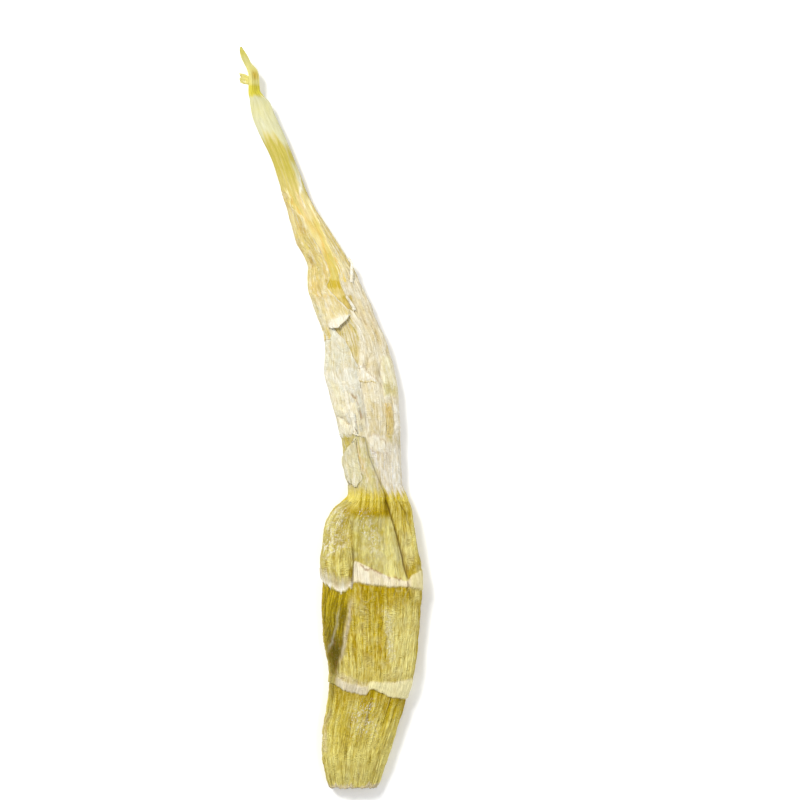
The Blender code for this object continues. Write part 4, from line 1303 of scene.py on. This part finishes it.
class Tree:
    """Adds nodes to one node tree. A value given to a socket may be a number, a colour or another socket."""

    def __init__(self, tree):
        self.tree = tree

    def add(self, kind, inputs=(), **settings):
        node = self.tree.nodes.new(kind)
        for name, value in settings.items():
            setattr(node, name, value)
        self.fill(node, dict(inputs))
        return node

    def fill(self, node, inputs):
        for name, value in inputs.items():
            if isinstance(value, bpy.types.NodeSocket):
                self.tree.links.new(value, node.inputs[name])
            else:
                node.inputs[name].default_value = value

    def maths(self, operation, first, second=0.0):
        return self.add("ShaderNodeMath", {0: first, 1: second}, operation=operation).outputs[0]

    def times(self, first, second):
        return self.maths("MULTIPLY", first, second)

    def plus(self, first, second):
        return self.maths("ADD", first, second)

    def larger(self, first, second):
        return self.maths("MAXIMUM", first, second)

    def vector_maths(self, operation, first, second):
        return self.add("ShaderNodeVectorMath", {0: first, 1: second}, operation=operation).outputs[0]

    def ranged(self, value, low, high, start=0.0, end=1.0):
        ends = {"From Min": low, "From Max": high, "To Min": start, "To Max": end}
        return self.add("ShaderNodeMapRange", {"Value": value, **ends}).outputs["Result"]

    def mixed(self, share, first, second, blend="MIX"):
        given = {"Factor": share, "A": first, "B": second}
        return self.add("ShaderNodeMix", given, data_type="RGBA", blend_type=blend).outputs["Result"]

    def scaled(self, vector, scale):
        return self.add("ShaderNodeMapping", {"Vector": vector, "Scale": scale}).outputs["Vector"]

    def noise(self, vector, size, detail=1.0):
        """Noise with cells of a given size, in millimetres."""
        given = {"Vector": vector, "Scale": 1000 / size, "Detail": detail, "Roughness": 0.6}
        return self.add("ShaderNodeTexNoise", given)

    def away_from_middle(self, value):
        return self.maths("ABSOLUTE", self.maths("SUBTRACT", value, 0.5))


FIBRE_DRIFT = (0.0012, 0.0012, 0.0)  # how far the fibres wander, in metres
FIBRE_STRETCH = (1.0, 0.09, 1.0)
WRINKLE_STRETCH = (0.25, 1.0, 1.0)


def fibre_group():
    """Fibres along a piece's own UV map, wrinkles across them and white bloom."""
    group = bpy.data.node_groups.new("dried_fibre", "ShaderNodeTree")
    for in_out, kind, names in (
        ("INPUT", "Float", ("Streaks", "Wrinkles", "Bloom", "Salt", "Calm")),
        ("INPUT", "Color", ("Tint", "Dark", "White")),
        ("OUTPUT", "Color", ("Color",)),
        ("OUTPUT", "Float", ("Height", "Roughness")),
    ):
        for name in names:
            group.interface.new_socket(name, in_out=in_out, socket_type="NodeSocket" + kind)
    tree = Tree(group)
    given = tree.add("NodeGroupInput").outputs
    flat = tree.add("ShaderNodeUVMap").outputs["UV"]
    drift = tree.vector_maths("MULTIPLY", tree.noise(flat, 4.0).outputs["Color"], FIBRE_DRIFT)
    place = tree.vector_maths("ADD", flat, drift)
    along, across = tree.scaled(place, FIBRE_STRETCH), tree.scaled(place, WRINKLE_STRETCH)
    fibres = tree.away_from_middle(tree.noise(along, 0.80).outputs["Fac"])
    threads = tree.away_from_middle(tree.noise(along, 0.42).outputs["Fac"])
    wrinkles = tree.away_from_middle(tree.noise(across, 0.8).outputs["Fac"])
    patches = tree.ranged(tree.noise(flat, 5.0, 2.0).outputs["Fac"], 0.40, 0.60)
    lively = tree.maths("SUBTRACT", 1.0, given["Calm"])
    wrinkled = tree.times(tree.ranged(patches, 0.9, 0.1), given["Wrinkles"])
    wrinkled = tree.times(wrinkled, lively)
    uneven = tree.ranged(patches, 0.0, 1.0, 0.35, 1.0)
    fibre_share = tree.times(tree.ranged(fibres, 0.11, 0.01), uneven)
    thread_share = tree.times(tree.ranged(threads, 0.10, 0.0), 0.55)
    streaks = tree.times(given["Streaks"], lively)
    line_share = tree.times(tree.larger(fibre_share, thread_share), streaks)
    wrinkle_share = tree.times(tree.ranged(wrinkles, 0.07, 0.0), wrinkled)
    dark_share = tree.larger(line_share, wrinkle_share)
    lined = tree.mixed(dark_share, given["Tint"], given["Dark"], "MULTIPLY")
    spots = tree.noise(flat, 0.9, 4.0).outputs["Fac"]
    salted = tree.plus(spots, tree.times(given["Salt"], 0.03))
    bloom = tree.plus(given["Bloom"], tree.times(given["Salt"], patches))
    white_share = tree.times(tree.ranged(salted, 0.56, 0.68), bloom)
    height = tree.plus(tree.times(fibres, 3.5), tree.times(threads, 1.2))
    wrinkle_height = tree.times(tree.times(wrinkles, wrinkled), 5.0)
    height = tree.plus(height, wrinkle_height)
    height = tree.plus(height, tree.times(white_share, 0.4))
    tree.add("NodeGroupOutput", {
        "Color": tree.mixed(white_share, lined, given["White"]),
        "Height": height,
        "Roughness": tree.ranged(spots, 0.3, 0.7, 0.65, 0.9),
    })
    return group


# By slot: how strong the streaks, wrinkles and bloom are, the dark lines' colour, and the relief's height.
MATERIALS = {
    "stem": (0.80, 0.70, 0.10, "stem_line", 0.30),
    "strap": (0.20, 0.20, 0.08, "thread", 0.15),
    "sheath": (0.70, 0.60, 0.25, "thread", 0.24),
    "remnant": (0.70, 0.60, 0.25, "thread", 0.24),
}


DRIED_SPECULAR = 0.06


def dried_material(name, streaks, wrinkles, bloom, dark, bump):
    """A dried surface: its tint attribute with fibres, bloom and dark creases over it."""
    colours = bpy.context.scene.shoot_colours
    material = bpy.data.materials.new(name)
    material.use_nodes = True
    tree = Tree(material.node_tree)
    masks = ("tint", "shade", "salt", "calm")
    tint, shade, salt, calm = [tree.add("ShaderNodeAttribute", attribute_name=mask).outputs for mask in masks]
    fibre = tree.add("ShaderNodeGroup", node_tree=bpy.data.node_groups.get("dried_fibre") or fibre_group())
    tree.fill(fibre, {
        "Streaks": streaks,
        "Wrinkles": wrinkles,
        "Bloom": bloom,
        "Salt": salt["Fac"],
        "Calm": calm["Fac"],
        "Tint": tint["Color"],
        "Dark": (*getattr(colours, dark), 1.0),
        "White": (*colours.bloom, 1.0),
    })
    raised_by = {"Strength": 1.0, "Distance": bump * MM, "Height": fibre.outputs["Height"]}
    tree.fill(material.node_tree.nodes["Principled BSDF"], {
        "Specular IOR Level": DRIED_SPECULAR,
        # Painted crease shade over the fibres, laid on by the shade mask.
        "Base Color": tree.mixed(shade["Fac"], fibre.outputs["Color"], (*colours.crease_shade, 1.0)),
        "Roughness": fibre.outputs["Roughness"],
        "Normal": tree.add("ShaderNodeBump", raised_by).outputs["Normal"],
    })
    return material


def material_for(slot):
    """The material of a slot, made on first use."""
    name = "dried_" + slot
    return bpy.data.materials.get(name) or dried_material(name, *MATERIALS[slot])


# ---------------------------------------------------------------- settings


def colour_property(name, description, srgb):
    return FloatVectorProperty(name=name, description=description, subtype="COLOR", size=3, min=0, max=1,
                               default=linear(*srgb))


class ShootColours(bpy.types.PropertyGroup):
    """The colours of the dried shoot."""

    cream: colour_property("Joint Cream", "Joints and cut rim", (0.905, 0.86, 0.73))
    bright_cream: colour_property("Bright Cream", "The palest parts of the joints", (0.95, 0.92, 0.70))
    joint_mauve: colour_property("Joint Mauve", "Faintly mauve parts of the joints", (0.84, 0.80, 0.70))
    gold: colour_property("Flesh Gold", "Bare stem", (0.85, 0.775, 0.22))
    deep: colour_property("Deep Gold", "The stem right below a joint, and its grooves", (0.72, 0.62, 0.01))
    groove: colour_property("Groove Brown", "The bottoms of the grooves", (0.375, 0.30, 0.02))
    straw: colour_property("Straw", "Faded parts of the stem", (0.92, 0.89, 0.60))
    panel: colour_property("Dull Panel", "The dull panels of the upper internode", (0.58, 0.525, 0.21))
    # Ridge Cream is the pale colour of the torn ridges and rims, and also the painted glints beside the
    # crinkles.
    ridge_cream_and_glint: colour_property("Ridge Cream", "Pale ridges of the upper part", (0.94, 0.905, 0.72))
    # Amber is the orange stains of the upper part, and also painted shadow along the ridges, crinkles and
    # furrows and beside the torn flap.
    amber_stain_and_shade: colour_property("Amber", "Orange stains of the upper part", (0.85, 0.71, 0.38))
    rib_light: colour_property("Rib Light", "Tops of the ribs", (0.95, 0.92, 0.58))
    # Dusk is painted shade on the sunken patch, the left lobe's right side, the turned-down fan and the left
    # sheath's shaded wrinkles, and also the colour of two dark stains.
    dusk_shade_and_stain: colour_property("Dusk", "The sunken lobe beside the fold", (0.37, 0.325, 0.07))
    olive: colour_property("Olive", "The fan of ribs beside the fold", (0.41, 0.36, 0.0))
    haze: colour_property("Haze", "Greyish haze over the bare stem", (0.82, 0.80, 0.64))
    lichen: colour_property("Pale Streak", "A greyish streak down the middle internode", (0.86, 0.84, 0.66))
    # Blush Brown is also painted shade along the torn tongue's edge, under the pink lobe and in the left
    # sheath's diagonal fold.
    blush: colour_property("Blush Brown", "Thin reddish lines and stains", (0.58, 0.41, 0.25))
    cut_face: colour_property("Cut Face", "The cut end", (0.88, 0.82, 0.60))
    white: colour_property("Paper White", "Whitest sheaths", (0.95, 0.945, 0.905))
    cup: colour_property("Turned Edge", "The upturned low edge of the upper sheath", (0.915, 0.905, 0.84))
    paper: colour_property("Paper", "Cream sheaths", (0.905, 0.88, 0.765))
    blush_paper: colour_property("Pink Paper", "The lobe at the front sheath's foot", (0.94, 0.925, 0.86))
    flap: colour_property("Greenish Paper", "The torn flap", (0.84, 0.825, 0.68))
    left_paper: colour_property("Left Paper", "The sheath on the left", (0.845, 0.845, 0.785))
    mauve: colour_property("Mauve", "Faintly mauve sheath", (0.885, 0.855, 0.75))
    lilac: colour_property("Lilac Grey", "The finely lined sheath over the right strap", (0.90, 0.90, 0.895))
    grey: colour_property("Paper Grey", "Thin, shaded paper", (0.76, 0.755, 0.68))
    yellow: colour_property("Paper Yellow", "Yellow sheaths", (0.95, 0.94, 0.80))
    tan: colour_property("Tan", "Tan patches of the sheaths", (0.835, 0.76, 0.50))
    # Fibre is also the painted shadow beside the torn tongue.
    fibre: colour_property("Fibre", "Fibres of the papery sheaths", (0.77, 0.70, 0.48))
    thread: colour_property("Thread Shade", "Darkens the sheaths' threads and wrinkles", (0.82, 0.77, 0.66))
    stem_line: colour_property("Stem Line Shade", "Darkens the fine grooves of the stem", (0.72, 0.64, 0.33))
    waist: colour_property("Waist", "The sheath round the waist", (0.79, 0.765, 0.51))
    honey: colour_property("Honey", "The sheaths near the top", (0.88, 0.81, 0.515))
    strap_gold: colour_property("Strap Gold", "Golden bands", (0.70, 0.655, 0.23))
    lime: colour_property("Lime Cream", "The strap near its neck", (0.80, 0.80, 0.655))
    window: colour_property("Window Gold", "Bare gold between torn layers", (0.73, 0.63, 0.17))
    tip: colour_property("Tip", "The thin end of the strap", (0.87, 0.84, 0.52))
    neck: colour_property("Neck Yellow", "The strap's neck", (0.80, 0.76, 0.24))
    neck_gold: colour_property("Neck Gold", "A golden streak beside the neck", (0.80, 0.69, 0.18))
    # Crease is painted shade at the bottoms of folds, laid on by the shade mask.
    crease_shade: colour_property("Crease", "The bottom of folds", (0.30, 0.21, 0.06))
    bloom: colour_property("Bloom", "White mineral bloom", (0.94, 0.93, 0.88))


class ShootRelief(bpy.types.PropertyGroup):
    """How strong the dried relief is."""

    rib_height: FloatProperty(name="Rib Height", description="Height of the stem's ribs", default=0.00045,
                              min=0, max=0.001, unit="LENGTH")
    sheath_thickness: FloatProperty(name="Sheath Thickness", description="Thickness of the papery sheaths",
                                    default=0.00025, min=0.0001, max=0.001, unit="LENGTH")


class StageSettings(bpy.types.PropertyGroup):
    """Floor, lights and camera."""

    floor: colour_property("Floor", "The pale floor", (0.985, 0.985, 0.985))
    key_power: FloatProperty(name="Key Light", description="Power of the key light", default=8.2, min=0,
                             unit="POWER")
    key_size: FloatProperty(name="Key Size", description="Width of the key light", default=0.28, min=0.01,
                            unit="LENGTH")
    fill: FloatProperty(name="Sky Light", description="Strength of the light from all round", default=0.51,
                        min=0)
    lens: FloatProperty(name="Lens", description="Focal length", default=100.0, min=10, unit="CAMERA")
    view_width: FloatProperty(name="View Width", description="Width seen at the shoot's height",
                              default=0.304, min=0.01, unit="LENGTH")


# ---------------------------------------------------------------- operators


FLOOR_WIDTH = 6.0
FLOOR_DEPTH = 0.0001  # below the shoot
FLOOR_ROUGHNESS = 0.9
KEY_PLACE = (-0.38, 0.46, 0.72)
SIDE_PLACE, SIDE_SIZE, SIDE_SHARE = (0.6, -0.1, 0.8), 0.6, 0.42  # the share is of the key light's power
VIEW_MIDDLE = (26.2, 147.8, 8.0)  # in millimetres from the start
SENSOR_WIDTH = 36.0


class MakeStage(bpy.types.Operator):
    """Make the floor, the lights and the camera"""

    bl_idname = "shoot.make_stage"
    bl_label = "Make Stage"

    def execute(self, context):
        settings = context.scene.stage_settings
        context.scene.view_settings.view_transform = "Standard"
        deselect()
        bpy.ops.mesh.primitive_plane_add(size=FLOOR_WIDTH, location=(0, 0, -FLOOR_DEPTH))
        floor = context.active_object
        floor.name = "floor"
        material = bpy.data.materials.new("pale_floor")
        material.use_nodes = True
        shader = material.node_tree.nodes["Principled BSDF"]
        shader.inputs["Base Color"].default_value = (*settings.floor, 1.0)
        shader.inputs["Roughness"].default_value = FLOOR_ROUGHNESS
        floor.data.materials.append(material)

        sky = bpy.data.worlds.new("soft_studio")
        sky.use_nodes = True
        light_all_round = sky.node_tree.nodes["Background"].inputs
        light_all_round["Color"].default_value = (1, 1, 1, 1)
        light_all_round["Strength"].default_value = settings.fill
        context.scene.world = sky

        view = START + np.array(VIEW_MIDDLE) * MM
        self.light("key", KEY_PLACE, settings.key_size, settings.key_power)
        self.light("side", SIDE_PLACE, SIDE_SIZE, settings.key_power * SIDE_SHARE)
        camera_data = bpy.data.cameras.new("overhead")
        camera_data.lens = settings.lens
        camera_data.sensor_width = SENSOR_WIDTH
        camera = bpy.data.objects.new("overhead", camera_data)
        context.scene.collection.objects.link(camera)
        height = settings.view_width * settings.lens / SENSOR_WIDTH
        camera.location = Vector(view) + Vector((0, 0, height))
        context.scene.camera = camera
        return {"FINISHED"}

    def light(self, name, place, size, power):
        bpy.ops.object.light_add(type="AREA", location=place)
        lamp = bpy.context.active_object
        lamp.name = name
        lamp.data.size = size
        lamp.data.energy = power
        lamp.rotation_euler = (-Vector(place)).to_track_quat("-Z", "Y").to_euler()


class MakeStem(bpy.types.Operator):
    """Make the bare, ribbed stem"""

    bl_idname = "shoot.make_stem"
    bl_label = "Make Stem"

    def execute(self, context):
        make_stem(context.scene.shoot_relief.rib_height * 1000)
        return {"FINISHED"}


class MakeStrap(bpy.types.Operator):
    """Make the long strap that runs to the tip"""

    bl_idname = "shoot.make_strap"
    bl_label = "Make Strap"

    def execute(self, context):
        make_strap()
        return {"FINISHED"}


class MakeSheaths(bpy.types.Operator):
    """Make the papery sheaths"""

    bl_idname = "shoot.make_sheaths"
    bl_label = "Make Sheaths"

    def execute(self, context):
        for name, rows, columns, seed, tint_of, tear, crumpled in (
            ("waist_sheath", 75, 210, 100, waist_tint, 0.9, 0.7),
            ("right_sheath", 300, 100, 120, right_tint, 0.9, 1.0),
            ("front_sheath", 150, 200, 140, front_tint, 0.9, 1.0),
            ("left_sheath", 120, 120, 160, left_tint, 0.9, 1.0),
            ("upper_sheath", 150, 120, 180, upper_tint, 1.2, 1.0),
        ):
            make_sheet(name, "sheath", rows, columns, seed, tint_of, tear, crumpled)
        return {"FINISHED"}


class MakeRemnants(bpy.types.Operator):
    """Make the torn remnants that cling to the sheaths, and the stub at the tip"""

    bl_idname = "shoot.make_remnants"
    bl_label = "Make Remnants"

    def execute(self, context):
        for name, rows, columns, seed, tint_of, tear, crumpled in (
            ("torn_flap", 60, 40, 400, flap_tint, 0.8, 1.4),
            ("torn_tongue", 40, 30, 420, tongue_tint, 0.4, 0.4),
            ("side_sliver", 40, 14, 440, sliver_tint, 0.3, 0.4),
            ("window_sliver", 30, 14, 460, sliver_tint, 0.3, 0.4),
        ):
            make_sheet(name, "remnant", rows, columns, seed, tint_of, tear, crumpled)
        make_stub()
        return {"FINISHED"}


class ShootPanel(bpy.types.Panel):
    """The shoot's settings and pieces"""

    bl_idname = "VIEW3D_PT_bamboo_shoot"
    bl_label = "Bamboo Shoot"
    bl_space_type = "VIEW_3D"
    bl_region_type = "UI"
    bl_category = "Bamboo Shoot"

    def draw(self, context):
        layout = self.layout
        for group in (context.scene.shoot_colours, context.scene.shoot_relief, context.scene.stage_settings):
            for name in group.__annotations__:
                layout.prop(group, name)
        for operator in OPERATORS:
            layout.operator(operator.bl_idname)


OPERATORS = (MakeStage, MakeStem, MakeStrap, MakeSheaths, MakeRemnants)
CLASSES = (ShootColours, ShootRelief, StageSettings, *OPERATORS, ShootPanel)


def register():
    for cls in CLASSES:
        bpy.utils.register_class(cls)
    bpy.types.Scene.shoot_colours = PointerProperty(type=ShootColours)
    bpy.types.Scene.shoot_relief = PointerProperty(type=ShootRelief)
    bpy.types.Scene.stage_settings = PointerProperty(type=StageSettings)


def unregister():
    for name in ("shoot_colours", "shoot_relief", "stage_settings"):
        delattr(bpy.types.Scene, name)
    for cls in reversed(CLASSES):
        bpy.utils.unregister_class(cls)


def main():
    register()
    bpy.ops.shoot.make_stage()
    bpy.ops.shoot.make_stem()
    bpy.ops.shoot.make_strap()
    bpy.ops.shoot.make_sheaths()
    bpy.ops.shoot.make_remnants()


if __name__ == "__main__":
    main()
